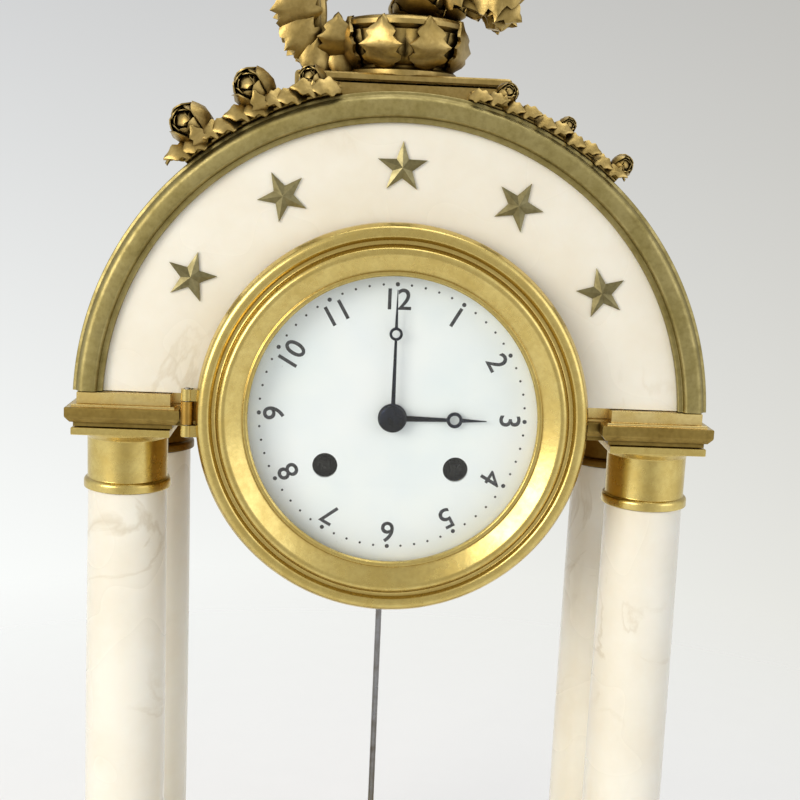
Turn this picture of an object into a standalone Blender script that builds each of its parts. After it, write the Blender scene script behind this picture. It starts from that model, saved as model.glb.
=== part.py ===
"""A marble and gilt-bronze portico clock with a striking movement and a swinging pendulum.

Sizes are in millimetres and the finished meshes are in metres. +Z is up and the dial faces -Y.
Each solid is one named object. What turns or slides hangs from an empty on its own axis.
"""

import math

import bmesh
import bpy
from mathutils import Matrix, Vector

# Fits
MM = 0.001
SEAT = 0.3  # gap where one piece rests on another
RUN = 0.3  # clearance around what turns or passes through a hole

# Base and feet
FOOT_H = 17.0
FOOT_R = 11.0
BASE_L = 256.0
BASE_D = 138.0
SLAB_H = 12.0
DIE_H = 24.0
CAP_SLAB_H = 10.0
DIE_INSET = 9.0
CAP_SLAB_INSET = 4.0

# Columns
COLUMN_X = 94.5
COLUMN_Y = 36.0
COLUMN_BASE_H = 16.0
SHAFT_BOTTOM_R = 14.6
SHAFT_TOP_R = 14.0
CAPITAL_H = 24.0
ABACUS_OUT = 2.5  # beyond the shaft
COLUMN_SIDES = 16
ROD_R = 2.5
ROD_SOCKET = 9.0  # how far a tie rod reaches into its foot

# Entablature and arch
CORNICE_H = 7.0
FILLET_H = 5.0
CORNICE_OUT = 2.0
FILLET_INSET = 4.0
FILLET_BACK = 0.7  # from the cornice's inner edges
PLATE_OUT = 1.5  # beyond the abacus, front and back
PLATE_SHY = 0.5  # behind the arch's faces
ARCH_R = 103.0
ARCH_D = 96.0
ARCH_STEPS = 28
RIM_W = 9.0
RIM_LIP = 1.5
RIM_D = 14.0
RIM_PROUD = 4.0  # in front of the arch
RIM_ROUND = 3.0
STAR_R = 9.0
STAR_T = 2.0
STAR_PLACE_R = 85.5
STAR_ANGLES = (57.5, 28.0, 0.0, -28.0, -57.5)

# Crest
CREST_Y = -8.0
CREST_SEAT_DEG = 22.0
CREST_SEAT_H = 16.0
CREST_SEAT_D = 40.0
CREST_STEP = 3.0
URN_R = 22.0
URN_H = 20.0
ARM_R = 7.5
GARLAND_FROM_DEG = 11.0
GARLAND_TO_DEG = 41.0
GARLAND_W = 10.0
GARLAND_H = 5.0
HEAD_R = 8.0
LEFT_HEADS = ((25.0, 1.0), (36.5, 1.0), (15.5, 0.6875))  # degrees from the top, share of HEAD_R
RIGHT_HEADS = ((17.0, 0.625), (28.5, 0.5), (40.0, 0.55))

# Clock case
DRUM_R = 60.0
DRUM_WALL = 2.0
FLANGE_R = 66.0
FLANGE_T = 3.0
ROUND_SIDES = 30
DIAL_R = 55.0
DIAL_T = 1.6
APERTURE_R = 50.0
BEZEL_R = 68.0
BEZEL_D = 12.0
BEZEL_LIP = 1.2
GLASS_T = 1.6
GLASS_RISE = 6.0
HINGE_R = 2.2
HINGE_OUT = 3.0
HINGE_ROOM = 0.8
KNUCKLE_L = 8.0
PIN_R = 1.0
COVER_T = 2.0
COVER_SKIRT = 6.0

# Movement
MOTION_ROOM = 8.6  # between dial and front plate
PLATE_R = 50.0
PLATE_T = 2.2
PLATE_GAP = 34.0
PILLAR_R = 2.8
PILLAR_PLACE_R = 46.5
PILLAR_ANGLES = (55.0, 125.0, 250.0, 290.0)
WIND_X = 23.0
WIND_Z = -18.0
WHEEL_T = 1.5
LEAF_L = 2.6  # length of a pinion
BARREL_L = 20.0
BARREL_WALL = 1.1
SPRING_T = 0.7
SPRING_PITCH = 1.5
SPRING_TURNS = 5
BARREL_TEETH, BARREL_LEAVES, BARREL_CENTRES = 40, 8, 21.7
MIDDLE_TEETH, MIDDLE_LEAVES, MIDDLE_CENTRES = 48, 8, 19.4
CENTRE_TEETH, CENTRE_LEAVES, CENTRE_CENTRES = 70, 7, 18.0
THIRD_TEETH, THIRD_LEAVES, THIRD_CENTRES = 77, 7, 15.0
ESCAPE_TEETH, ESCAPE_R, ESCAPE_Z = 35, 11.0, 21.0
MOTION_CENTRES = 14.0
CANNON_LEAVES, MINUTE_TEETH, MINUTE_LEAVES, HOUR_TEETH = 10, 30, 8, 32
STRIKE_DEG = 100.0
STRIKE_R = 13.0
ARBOR_R = 1.2
CANNON_R = 2.1
HOUR_PIPE_R = 3.2
HAND_T = 0.8
MINUTE_HAND_L = 45.0
HOUR_HAND_L = 33.0
ANCHOR_Z = 38.0
CRUTCH_L = 44.0
PENDULUM_L = 230.5  # suspension to bob centre
PENDULUM_ROD_R = 1.2
BOB_R = 19.0
BOB_T = 9.0
NUT_R = 5.0
NUT_T = 4.0
ROD_TAIL = 10.0  # thread below the rating nut
PENDULUM_ROOM = 4.7  # between that thread and the plinth
SWING_ROOM = 10.0
BELL_R = 38.0
BELL_DEPTH = 18.0
BELL_WALL = 1.6
HAMMER_HEAD_R = 4.0
HAMMER_PIVOT = (-44.0, -8.0)
HAMMER_DEG = 225.0

# Heights, each from the piece below. The shafts hold the suspension as high as the pendulum needs
PENDULUM_REACH = PENDULUM_L + BOB_R + NUT_T + ROD_TAIL
SHAFT_H = PENDULUM_REACH + PENDULUM_ROOM - ANCHOR_Z - COLUMN_BASE_H - CAPITAL_H - CORNICE_H - 4 * SEAT
BASE_Z = FOOT_H + SEAT
BASE_TOP = BASE_Z + SLAB_H + DIE_H + CAP_SLAB_H
COLUMN_BASE_Z = BASE_TOP + SEAT
SHAFT_Z = COLUMN_BASE_Z + COLUMN_BASE_H + SEAT
CAPITAL_Z = SHAFT_Z + SHAFT_H + SEAT
CORNICE_Z = CAPITAL_Z + CAPITAL_H + SEAT
DIAL_Z = CORNICE_Z + CORNICE_H
ARCH_RISE = FILLET_H + SEAT  # underside of the arch above the dial centre
ABACUS = SHAFT_BOTTOM_R + ABACUS_OUT  # half width of column base and abacus

# Depths, each from the piece in front
ARCH_FRONT = -ARCH_D / 2
FLANGE_BACK = ARCH_FRONT - SEAT
FLANGE_FRONT = FLANGE_BACK - FLANGE_T
BEZEL_BACK = FLANGE_FRONT - SEAT
BEZEL_FRONT = BEZEL_BACK - BEZEL_D
DIAL_BACK = FLANGE_FRONT + DIAL_T
PLATE_FRONT = DIAL_BACK + MOTION_ROOM
TRAIN_FRONT = PLATE_FRONT + PLATE_T
BACK_PLATE_Y = TRAIN_FRONT + PLATE_GAP
BACK_PLATE_BACK = BACK_PLATE_Y + PLATE_T
CRUTCH_Y = BACK_PLATE_BACK + 1.0
CRUTCH_T = 1.5
COCK_Y = CRUTCH_Y + CRUTCH_T + 1.6
COCK_T = 3.0
PENDULUM_Y = COCK_Y + COCK_T + 2.5
FORK_BACK = PENDULUM_Y + PENDULUM_ROD_R + 0.9
STAND_Y = FORK_BACK + 1.9
STAND_T = 3.0
BELL_MOUTH = STAND_Y + STAND_T + 3.0
BELL_BACK = BELL_MOUTH + BELL_DEPTH
NUT_BACK = BELL_BACK + SEAT + 2.0
DRUM_BACK = max(NUT_BACK + 1.2, ARCH_D / 2 + 2.0)

# Train layers, each a distance behind the front plate
MIDDLE_LAYER = 1.5
CENTRE_LAYER = MIDDLE_LAYER + LEAF_L + 0.9
BARREL_LAYER = CENTRE_LAYER + LEAF_L + 1.4
THIRD_LAYER = BARREL_LAYER + WHEEL_T + BARREL_L + 0.8
ESCAPE_LAYER = THIRD_LAYER - 8.0

# The barrel's wall stands inside the roots of its teeth
BARREL_R = BARREL_CENTRES * (BARREL_TEETH - 2.2) / (BARREL_TEETH + BARREL_LEAVES) - 0.5


def crossing(a, b, from_a, from_b, side):
    """The point at two distances from two others, to the left of a to b if side is 1."""
    a, b = Vector(a), Vector(b)
    apart = (b - a).length
    along = (from_a**2 - from_b**2 + apart**2) / (2 * apart)
    up = math.sqrt(max(from_a**2 - along**2, 0.0))
    way = (b - a) / apart
    return tuple(a + way * along + Vector((-way.y, way.x)) * up * side)


# Arbor places in the plane of the plates, from the dial centre
GOING_AT = (WIND_X, WIND_Z)
STRIKE_AT = (-WIND_X, WIND_Z)
CENTRE_AT = (0.0, 0.0)
ESCAPE_AT = (0.0, ESCAPE_Z)
ANCHOR_AT = (0.0, ANCHOR_Z)
MIDDLE_AT = crossing(CENTRE_AT, GOING_AT, MIDDLE_CENTRES, BARREL_CENTRES, -1)
THIRD_AT = crossing(CENTRE_AT, ESCAPE_AT, CENTRE_CENTRES, THIRD_CENTRES, -1)
MINUTE_AT = (0.0, -MOTION_CENTRES)
STRIKE_WHEEL_AT = (
    STRIKE_AT[0] + BARREL_CENTRES * math.cos(math.radians(STRIKE_DEG)),
    STRIKE_AT[1] + BARREL_CENTRES * math.sin(math.radians(STRIKE_DEG)),
)


# Outlines
def circle(radius, count, centre=(0.0, 0.0), start=0.0):
    """Points of a circle, as (u, v)."""
    turns = [start + 2 * math.pi * i / count for i in range(count)]
    return [(centre[0] + radius * math.cos(t), centre[1] + radius * math.sin(t)) for t in turns]


def hole(radius, count=8):
    """The corner radius of a many-sided hole that a round of this radius runs in."""
    return (radius + RUN) / math.cos(math.pi / count)


def rectangle(u, v):
    """Corners of a rectangle of these half sizes."""
    return [(u, v), (-u, v), (-u, -v), (u, -v)]


def gear(teeth, radius, phase, pinion=False):
    """Pointed teeth on a pitch circle, one of them centred at the phase angle. A pinion's gaps are wider."""
    module = 2 * radius / teeth
    tip = radius + (0.6 if pinion else 0.8) * module
    root = radius - (1.2 if pinion else 1.1) * module
    pitch = 2 * math.pi / teeth
    points = []
    for i in range(teeth):
        a = phase + pitch * i
        corners = ((root, a - 0.3 * pitch), (tip, a), (root, a + 0.3 * pitch))
        for r, t in corners if pinion else ((root, a - 0.5 * pitch), (tip, a)):
            points.append((r * math.cos(t), r * math.sin(t)))
    return points


def pitch_radii(teeth, leaves, centres):
    """Pitch radii of a wheel and its pinion from the distance between their arbors."""
    return centres * teeth / (teeth + leaves), centres * leaves / (teeth + leaves)


def meshed(wheel_at, pinion_at, teeth, leaves, phase=0.0):
    """The phase of a pinion whose gap meets the teeth of a wheel at its own phase."""
    line = math.atan2(pinion_at[1] - wheel_at[1], pinion_at[0] - wheel_at[0])
    return line + math.pi - teeth / leaves * (phase - line) + math.pi / leaves


# Solids
def put(axis, u, v, h):
    """A point of an outline at a height along the axis."""
    return (u, v, h) if axis == "Z" else (u, h, v)


def ring_edges(bm, ring):
    """The edges of a closed ring of vertices."""
    pairs = zip(ring, ring[1:] + ring[:1])
    return [bm.edges.get(pair) or bm.edges.new(pair) for pair in pairs]


def wall(bm, low, high):
    """Faces between two rings of the same count."""
    for i in range(len(low)):
        k = (i + 1) % len(low)
        bm.faces.new((low[i], low[k], high[k], high[i]))


def fill(bm, rings):
    """A flat face between an outer ring and the rings inside it."""
    edges = [edge for ring in rings for edge in ring_edges(bm, ring)]
    bmesh.ops.triangle_fill(bm, use_beauty=True, edges=edges)


def built_up(sections, axis="Z", bores=(), looped=False):
    """A solid from outlines along an axis, as (height, outline): a step where two share a height.

    A bore is (outline, from, to), open where it reaches an end of the solid.
    Looped sections run out along the axis and back inside, to where they began.
    """
    bm = bmesh.new()
    rings = [[bm.verts.new(put(axis, u, v, h)) for u, v in line] for h, line in sections]
    heights = [h for h, line in sections]
    ends = {0: [rings[0]], 1: [rings[-1]]}
    for line, low, high in bores:
        first = [bm.verts.new(put(axis, u, v, low)) for u, v in line]
        last = [bm.verts.new(put(axis, u, v, high)) for u, v in line]
        wall(bm, first, last)
        for ring, h in ((first, low), (last, high)):
            if abs(h - heights[0]) < 1e-6:
                ends[0].append(ring)
            elif abs(h - heights[-1]) < 1e-6:
                ends[1].append(ring)
            else:
                fill(bm, [ring])
    for i in range(0 if looped else 1, len(rings)):
        if abs(heights[i] - heights[i - 1]) < 1e-6:
            fill(bm, [rings[i - 1], rings[i]])
        else:
            wall(bm, rings[i - 1], rings[i])
    if not looped:
        fill(bm, ends[0])
        fill(bm, ends[1])
    return bm


def turned(profile, sides, axis="Y"):
    """A solid of revolution from a profile of (radius, height), which may start and end at radius 0."""
    bm = bmesh.new()
    rings = []
    for r, h in profile:
        points = circle(r, sides) if r > 1e-6 else [(0.0, 0.0)]
        rings.append([bm.verts.new(put(axis, u, v, h)) for u, v in points])
    pairs = list(zip(rings, rings[1:]))
    if len(rings[0]) > 1 and len(rings[-1]) > 1:
        pairs.append((rings[-1], rings[0]))
    for low, high in pairs:
        if len(low) > 1 and len(high) > 1:
            wall(bm, low, high)
        elif len(low) > 1 or len(high) > 1:
            pole, ring = (low[0], high) if len(low) == 1 else (high[0], low)
            for i in range(sides):
                bm.faces.new((pole, ring[i], ring[(i + 1) % sides]))
    return bm


def arched(profile, from_deg, to_deg, steps):
    """A profile of (radius, y) swept about the dial axis between two angles from +X."""
    bm = bmesh.new()
    rings = []
    for i in range(steps + 1):
        t = math.radians(from_deg + (to_deg - from_deg) * i / steps)
        rings.append([bm.verts.new((r * math.cos(t), y, r * math.sin(t))) for r, y in profile])
    for low, high in zip(rings, rings[1:]):
        wall(bm, low, high)
    fill(bm, [rings[0]])
    fill(bm, [rings[-1]])
    return bm


def ribbon(path, low, high):
    """A flat outline between two depths."""
    return built_up([(low, path), (high, path)], "Y")


def block(x0, x1, y0, y1, z0, z1):
    """A box between two corners."""
    line = [(x0, y0), (x1, y0), (x1, y1), (x0, y1)]
    return built_up([(z0, line), (z1, line)])


def ball(radius, centre, squash=1.0):
    """A coarse round lump."""
    bm = bmesh.new()
    bmesh.ops.create_icosphere(bm, subdivisions=2, radius=radius)
    bmesh.ops.scale(bm, vec=(1.0, squash, 1.0), verts=bm.verts)
    bmesh.ops.translate(bm, vec=centre, verts=bm.verts)
    return bm


def tube(path, radius, sides=8):
    """A round bar along points in a plane of constant y."""
    bm = bmesh.new()
    rings = []
    for i, point in enumerate(path):
        ahead = Vector(path[min(i + 1, len(path) - 1)]) - Vector(path[max(i - 1, 0)])
        side = Vector((-ahead.z, 0.0, ahead.x)).normalized()
        ring = [side * u + Vector((0.0, v, 0.0)) for u, v in circle(radius, sides)]
        rings.append([bm.verts.new(Vector(point) + offset) for offset in ring])
    for low, high in zip(rings, rings[1:]):
        wall(bm, low, high)
    fill(bm, [rings[0]])
    fill(bm, [rings[-1]])
    return bm


def draft(bm):
    """A scratch object that holds a solid for a Boolean."""
    bmesh.ops.recalc_face_normals(bm, faces=bm.faces)
    mesh = bpy.data.meshes.new("draft")
    bm.to_mesh(mesh)
    bm.free()
    obj = bpy.data.objects.new("draft", mesh)
    bpy.context.scene.collection.objects.link(obj)
    return obj


def combined(base, tools, operation="UNION"):
    """A solid with tools joined to it or cut from it."""
    host = draft(base)
    helpers = [draft(tool) for tool in tools]
    for helper in helpers:
        step = host.modifiers.new("step", "BOOLEAN")
        step.operation = operation
        step.solver = "EXACT"
        step.object = helper
    graph = bpy.context.evaluated_depsgraph_get()
    mesh = bpy.data.meshes.new_from_object(host.evaluated_get(graph))
    bm = bmesh.new()
    bm.from_mesh(mesh)
    for obj in (host, *helpers):
        bpy.data.objects.remove(obj)
    return bm


def material(name, colour, roughness, metallic=0.0):
    """A plain surface."""
    made = bpy.data.materials.new(name)
    made.use_nodes = True
    shader = made.node_tree.nodes["Principled BSDF"]
    shader.inputs["Base Color"].default_value = (*colour, 1.0)
    shader.inputs["Roughness"].default_value = roughness
    shader.inputs["Metallic"].default_value = metallic
    return made


def empty(name, at, parent=None):
    """A joint axis, at a place in millimetres from its parent."""
    obj = bpy.data.objects.new(name, None)
    bpy.context.scene.collection.objects.link(obj)
    obj.location = Vector(at) * MM
    obj.parent = parent
    return obj


def piece(name, bm, surface, at=(0.0, 0.0, 0.0), parent=None):
    """A finished object from a solid in millimetres."""
    bmesh.ops.recalc_face_normals(bm, faces=bm.faces)
    mesh = bpy.data.meshes.new(name)
    bm.to_mesh(mesh)
    bm.free()
    mesh.transform(Matrix.Scale(MM, 4))
    mesh.materials.append(surface)
    for face in mesh.polygons:
        face.use_smooth = True
    mesh.set_sharp_from_angle(angle=math.radians(32))
    obj = bpy.data.objects.new(name, mesh)
    bpy.context.scene.collection.objects.link(obj)
    obj.location = Vector(at) * MM
    obj.parent = parent
    return obj


for old in list(bpy.data.objects):
    bpy.data.objects.remove(old)

MARBLE = material("marble", (0.88, 0.84, 0.72), 0.3)
GILT = material("gilt_bronze", (0.72, 0.52, 0.18), 0.35, 1.0)
BRASS = material("brass", (0.75, 0.58, 0.28), 0.35, 1.0)
STEEL = material("steel", (0.45, 0.46, 0.48), 0.35, 1.0)
BLUED = material("blued_steel", (0.02, 0.02, 0.04), 0.3, 1.0)
ENAMEL = material("enamel", (0.93, 0.93, 0.92), 0.15)
GLASS = material("glass", (0.95, 0.97, 0.97), 0.03)
BELL_METAL = material("bell_metal", (0.62, 0.5, 0.3), 0.3, 1.0)

CORNERS = {
    "front_left": (-COLUMN_X, -COLUMN_Y),
    "front_right": (COLUMN_X, -COLUMN_Y),
    "back_left": (-COLUMN_X, COLUMN_Y),
    "back_right": (COLUMN_X, COLUMN_Y),
}
ROD_HOLE = hole(ROD_R)
SOCKET_Z = FOOT_H - ROD_SOCKET

# Plinth: three courses of one block, bored for the tie rods
plinth = []
for low, high, inset in (
    (BASE_Z, BASE_Z + SLAB_H, 0.0),
    (BASE_Z + SLAB_H, BASE_Z + SLAB_H + DIE_H, DIE_INSET),
    (BASE_Z + SLAB_H + DIE_H, BASE_TOP, CAP_SLAB_INSET),
):
    course = rectangle(BASE_L / 2 - inset, BASE_D / 2 - inset)
    plinth += [(low, course), (high, course)]
rod_holes = [(circle(ROD_HOLE, 8, at), BASE_Z, BASE_TOP) for at in CORNERS.values()]
piece("base_plinth", built_up(plinth, "Z", rod_holes), MARBLE)

# Feet and columns: each foot screws onto the tie rod that its capital carries
for corner, (x, y) in CORNERS.items():
    foot = [
        (0.0, 0.0),
        (FOOT_R * 0.5, 0.0),
        (FOOT_R * 0.62, FOOT_H * 0.12),
        (FOOT_R, FOOT_H * 0.45),
        (FOOT_R * 0.95, FOOT_H * 0.62),
        (FOOT_R * 0.62, FOOT_H * 0.72),
        (FOOT_R, FOOT_H * 0.8),
        (FOOT_R, FOOT_H),
        (ROD_HOLE, FOOT_H),
        (ROD_HOLE, SOCKET_Z),
        (0.0, SOCKET_Z),
    ]
    piece("foot_" + corner, turned(foot, 12, "Z"), GILT, (x, y, 0.0))
    top = SHAFT_BOTTOM_R + 0.6
    base_rings = ((0.32, top + 1.2), (0.44, top + 2.2), (0.6, top + 1.4), (0.76, top), (1.0, top))
    square = rectangle(ABACUS + 1.0, ABACUS + 1.0)
    step_z = 0.32 * COLUMN_BASE_H
    column_base = [(0.0, square), (step_z, square)]
    column_base += [(k * COLUMN_BASE_H, circle(min(r, ABACUS + 0.7), COLUMN_SIDES)) for k, r in base_rings]
    bore = (circle(ROD_HOLE, 8), 0.0, COLUMN_BASE_H)
    piece("column_base_" + corner, built_up(column_base, "Z", [bore]), GILT, (x, y, COLUMN_BASE_Z))
    shaft = [(0.0, circle(SHAFT_BOTTOM_R, COLUMN_SIDES)), (SHAFT_H, circle(SHAFT_TOP_R, COLUMN_SIDES))]
    bore = (circle(ROD_HOLE, 8), 0.0, SHAFT_H)
    piece("column_shaft_" + corner, built_up(shaft, "Z", [bore]), MARBLE, (x, y, SHAFT_Z))
    rod = circle(ROD_R, 8)
    neck = SHAFT_TOP_R + 0.2
    capital = [(SOCKET_Z + SEAT - CAPITAL_Z, rod), (0.0, rod)]
    for k, r in ((0.0, neck), (0.05, neck + 1.3), (0.14, neck + 1.3), (0.19, neck), (0.76, neck + 0.2)):
        capital.append((k * CAPITAL_H, circle(r, COLUMN_SIDES)))
    capital.append((0.89 * CAPITAL_H, circle(neck + 2.2, COLUMN_SIDES)))
    abacus = rectangle(ABACUS, ABACUS)
    capital += [(0.89 * CAPITAL_H, abacus), (CAPITAL_H, abacus)]
    piece("capital_" + corner, built_up(capital), GILT, (x, y, CAPITAL_Z))

# Entablature: two plates on the capitals, whose inner ends hug the drum
PLATE_END_X = COLUMN_X + ABACUS + CORNICE_OUT
PLATE_STEP_X = BEZEL_R + HINGE_OUT + HINGE_R + HINGE_ROOM
PLATE_HALF_D = COLUMN_Y + ABACUS + PLATE_OUT
DRUM_REST_X = DRUM_R + SEAT
INNER_HALF_D = ARCH_D / 2 - PLATE_SHY
for side, sign in (("left", -1.0), ("right", 1.0)):
    plans = []
    for inset, end in ((0.0, 0.0), (FILLET_INSET, FILLET_BACK)):
        x0, x1, x2 = PLATE_END_X - inset, PLATE_STEP_X + end, DRUM_REST_X + end
        wide, narrow = PLATE_HALF_D - inset, INNER_HALF_D - end
        half_plan = [(x0, wide), (x1, wide), (x1, narrow), (x2, narrow)]
        plan = half_plan + [(x, -y) for x, y in reversed(half_plan)]
        plans.append([(sign * x, y) for x, y in plan])
    cornice, fillet = plans
    sections = [(0.0, cornice), (CORNICE_H, cornice), (CORNICE_H, fillet), (CORNICE_H + FILLET_H, fillet)]
    piece("entablature_" + side, built_up(sections), GILT, (0.0, 0.0, CORNICE_Z))

# Arch: a marble half ring over the drum, with a gilt rim on its front edge
AT_DIAL = (0.0, 0.0, DIAL_Z)
inner_r = DRUM_R + SEAT
outer_from = math.asin(ARCH_RISE / ARCH_R)
inner_from = math.asin(ARCH_RISE / inner_r)
outline = []
for i in range(ARCH_STEPS + 1):
    t = outer_from + (math.pi - 2 * outer_from) * i / ARCH_STEPS
    outline.append((ARCH_R * math.cos(t), ARCH_R * math.sin(t)))
for i in range(ARCH_STEPS + 1):
    t = math.pi - inner_from - (math.pi - 2 * inner_from) * i / ARCH_STEPS
    outline.append((inner_r * math.cos(t), inner_r * math.sin(t)))
piece("arch_block", ribbon(outline, ARCH_FRONT, -ARCH_FRONT), MARBLE, AT_DIAL)

RIM_IN = ARCH_R + SEAT
RIM_OUT = ARCH_R + RIM_W
RIM_FRONT = ARCH_FRONT - RIM_PROUD
RIM_BACK = RIM_FRONT + RIM_D
rim = [
    (ARCH_R - RIM_LIP, RIM_FRONT),
    (ARCH_R - RIM_LIP, ARCH_FRONT - SEAT),
    (RIM_IN, ARCH_FRONT - SEAT),
    (RIM_IN, RIM_BACK),
    (RIM_OUT - RIM_ROUND, RIM_BACK),
    (RIM_OUT, RIM_BACK - RIM_ROUND),
    (RIM_OUT, RIM_FRONT + RIM_ROUND),
    (RIM_OUT - RIM_ROUND, RIM_FRONT),
]
rim_from = math.degrees(math.asin(ARCH_RISE / (ARCH_R - RIM_LIP)))
piece("arch_rim", arched(rim, rim_from, 180.0 - rim_from, ARCH_STEPS), GILT, AT_DIAL)

for number, angle in enumerate(STAR_ANGLES, 1):
    t = math.radians(90.0 + angle)
    points = []
    for i in range(10):
        r = STAR_R if i % 2 == 0 else STAR_R * 0.42
        a = t + math.pi * i / 5
        points.append((r * math.cos(a), r * math.sin(a)))
    ridge = [(u * 0.25, v * 0.25) for u, v in points]
    back = ARCH_FRONT - SEAT
    sections = [(back - STAR_T, ridge), (back - STAR_T * 0.3, points), (back, points)]
    place = (STAR_PLACE_R * math.cos(t), 0.0, DIAL_Z + STAR_PLACE_R * math.sin(t))
    piece(f"arch_star_{number}", built_up(sections, "Y"), GILT, place)

# Crest: an urn of flowers with two leafy arms on a saddle, and a flower garland on each side of the rim
saddle_r = ARCH_R + SEAT
saddle_top = saddle_r + CREST_SEAT_H
saddle = []
for i in range(9):
    t = math.radians(90.0 - CREST_SEAT_DEG + 2 * CREST_SEAT_DEG * i / 8)
    saddle.append((saddle_r * math.cos(t), saddle_r * math.sin(t)))
reach = saddle_r * math.sin(math.radians(CREST_SEAT_DEG))
saddle += [(-reach, saddle_top - CREST_STEP), (-reach + CREST_STEP, saddle_top)]
saddle += [(reach - CREST_STEP, saddle_top), (reach, saddle_top - CREST_STEP)]
saddle_front = max(CREST_Y - CREST_SEAT_D / 2, RIM_BACK + SEAT)
crest = ribbon(saddle, saddle_front, saddle_front + CREST_SEAT_D)
urn_steps = ((-0.05, 0.9), (0.12, 0.9), (0.22, 0.8), (0.45, 0.92), (0.8, 1.0), (1.0, 1.0), (1.15, 0.7))
urn = built_up([(saddle_top + k * URN_H, circle(r * URN_R, 16, (0.0, CREST_Y))) for k, r in urn_steps])


def on_crest(a, b):
    """A point in the crest's plane, in urn radii from the foot of the urn."""
    return (a * URN_R, CREST_Y, saddle_top + b * URN_R)


# Arms through points, and flowers as places and radii, all in urn radii
left_arm = [(-0.6, 0.27), (-1.32, 0.27), (-1.66, 0.6), (-1.73, 1.0), (-1.7, 1.4), (-1.37, 1.73), (-0.9, 1.82)]
right_arm = [(0.3, 1.2), (0.9, 1.42), (1.35, 1.4), (1.52, 1.12)]
blooms = [(0.25, 1.36, 0.6), (-0.1, 2.05, 0.55), (0.75, 1.92, 0.5), (0.2, 2.5, 0.36)]
arms = [tube([on_crest(*point) for point in path], ARM_R) for path in (left_arm + [(-0.2, 1.7)], right_arm)]
roses = [ball(r * URN_R, on_crest(a, b)) for a, b, r in blooms]
piece("crest_urn", combined(crest, [urn, *arms, *roses]), GILT, AT_DIAL)

garland_y = (RIM_FRONT + RIM_BACK) / 2
foot_r = RIM_OUT + SEAT
for side, sign, heads in (("left", 1.0, LEFT_HEADS), ("right", -1.0, RIGHT_HEADS)):
    section = [
        (foot_r, garland_y - GARLAND_W / 2),
        (foot_r, garland_y + GARLAND_W / 2),
        (foot_r + GARLAND_H * 0.7, garland_y + GARLAND_W * 0.38),
        (foot_r + GARLAND_H, garland_y),
        (foot_r + GARLAND_H * 0.7, garland_y - GARLAND_W * 0.38),
    ]
    body = arched(section, 90.0 + sign * GARLAND_FROM_DEG, 90.0 + sign * GARLAND_TO_DEG, 10)
    lumps = []
    for angle, share in heads:
        radius = share * HEAD_R
        t = math.radians(90.0 + sign * angle)
        r = foot_r + radius + RUN
        lumps.append(ball(radius, (r * math.cos(t), garland_y, r * math.sin(t))))
    piece("garland_" + side, combined(body, lumps), GILT, AT_DIAL)

# Drum: a turned shell with a front flange, ledges for dial and movement, and a pendulum slot
HINGE_X = -(BEZEL_R + HINGE_OUT)
HINGE_Y = BEZEL_BACK - BEZEL_D * 0.42
RECESS_R = DIAL_R + SEAT
DRUM_IN = DRUM_R - DRUM_WALL
shell = [
    (RECESS_R, FLANGE_FRONT),
    (FLANGE_R, FLANGE_FRONT),
    (FLANGE_R, FLANGE_BACK),
    (DRUM_R, FLANGE_BACK),
    (DRUM_R, DRUM_BACK),
    (DRUM_IN, DRUM_BACK),
    (DRUM_IN, PLATE_FRONT - SEAT),
    (PLATE_R - 3.0, PLATE_FRONT - SEAT),
    (PLATE_R - 3.0, PLATE_FRONT - SEAT - 2.0),
    (DRUM_IN, PLATE_FRONT - SEAT - 2.0),
    (DRUM_IN, DIAL_BACK + SEAT + 2.0),
    (DIAL_R - 2.0, DIAL_BACK + SEAT + 2.0),
    (DIAL_R - 2.0, DIAL_BACK + SEAT),
    (RECESS_R, DIAL_BACK + SEAT),
]


def hinge_rod(z0, z1, outer, sides=12):
    """A round bar about the bezel hinge."""
    line = circle(outer, sides, (HINGE_X, HINGE_Y))
    return built_up([(z0, line), (z1, line)])


half = KNUCKLE_L / 2
leaf_x = HINGE_X + HINGE_OUT - 1.4
leaf = block(HINGE_X - HINGE_R * 0.9, leaf_x, HINGE_Y, FLANGE_BACK, -half, half)
foot = block(HINGE_X - HINGE_R * 0.9, -FLANGE_R + 3.0, FLANGE_FRONT, FLANGE_BACK, -half, half)
hinge_web = combined(hinge_rod(-half, half, HINGE_R), [leaf, foot])
slot = block(-SWING_ROOM, SWING_ROOM, PENDULUM_Y - 4.0, PENDULUM_Y + 4.0, -DRUM_R - 4.0, -DRUM_R + 8.0)
bore = hinge_rod(-half - 1.0, half + 1.0, hole(PIN_R), 8)
drum = combined(turned(shell, ROUND_SIDES), [hinge_web])
piece("drum_shell", combined(drum, [slot, bore], "DIFFERENCE"), BRASS, AT_DIAL)
pin_line = circle(PIN_R, 8)
pin_half = half * 2 + SEAT + 0.4
pin_at = (HINGE_X, HINGE_Y, DIAL_Z)
piece("bezel_hinge_pin", built_up([(-pin_half, pin_line), (pin_half, pin_line)]), STEEL, pin_at)

# Dial and bezel: the bezel swings on the drum's hinge and carries the glass
dial_bores = [(circle(HOUR_PIPE_R + 1.3, 16), FLANGE_FRONT, DIAL_BACK)]
dial_bores += [(circle(4.0, 16, at), FLANGE_FRONT, DIAL_BACK) for at in (GOING_AT, STRIKE_AT)]
dial_line = circle(DIAL_R, ROUND_SIDES)
piece("dial", built_up([(FLANGE_FRONT, dial_line), (DIAL_BACK, dial_line)], "Y", dial_bores), ENAMEL, AT_DIAL)

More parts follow.
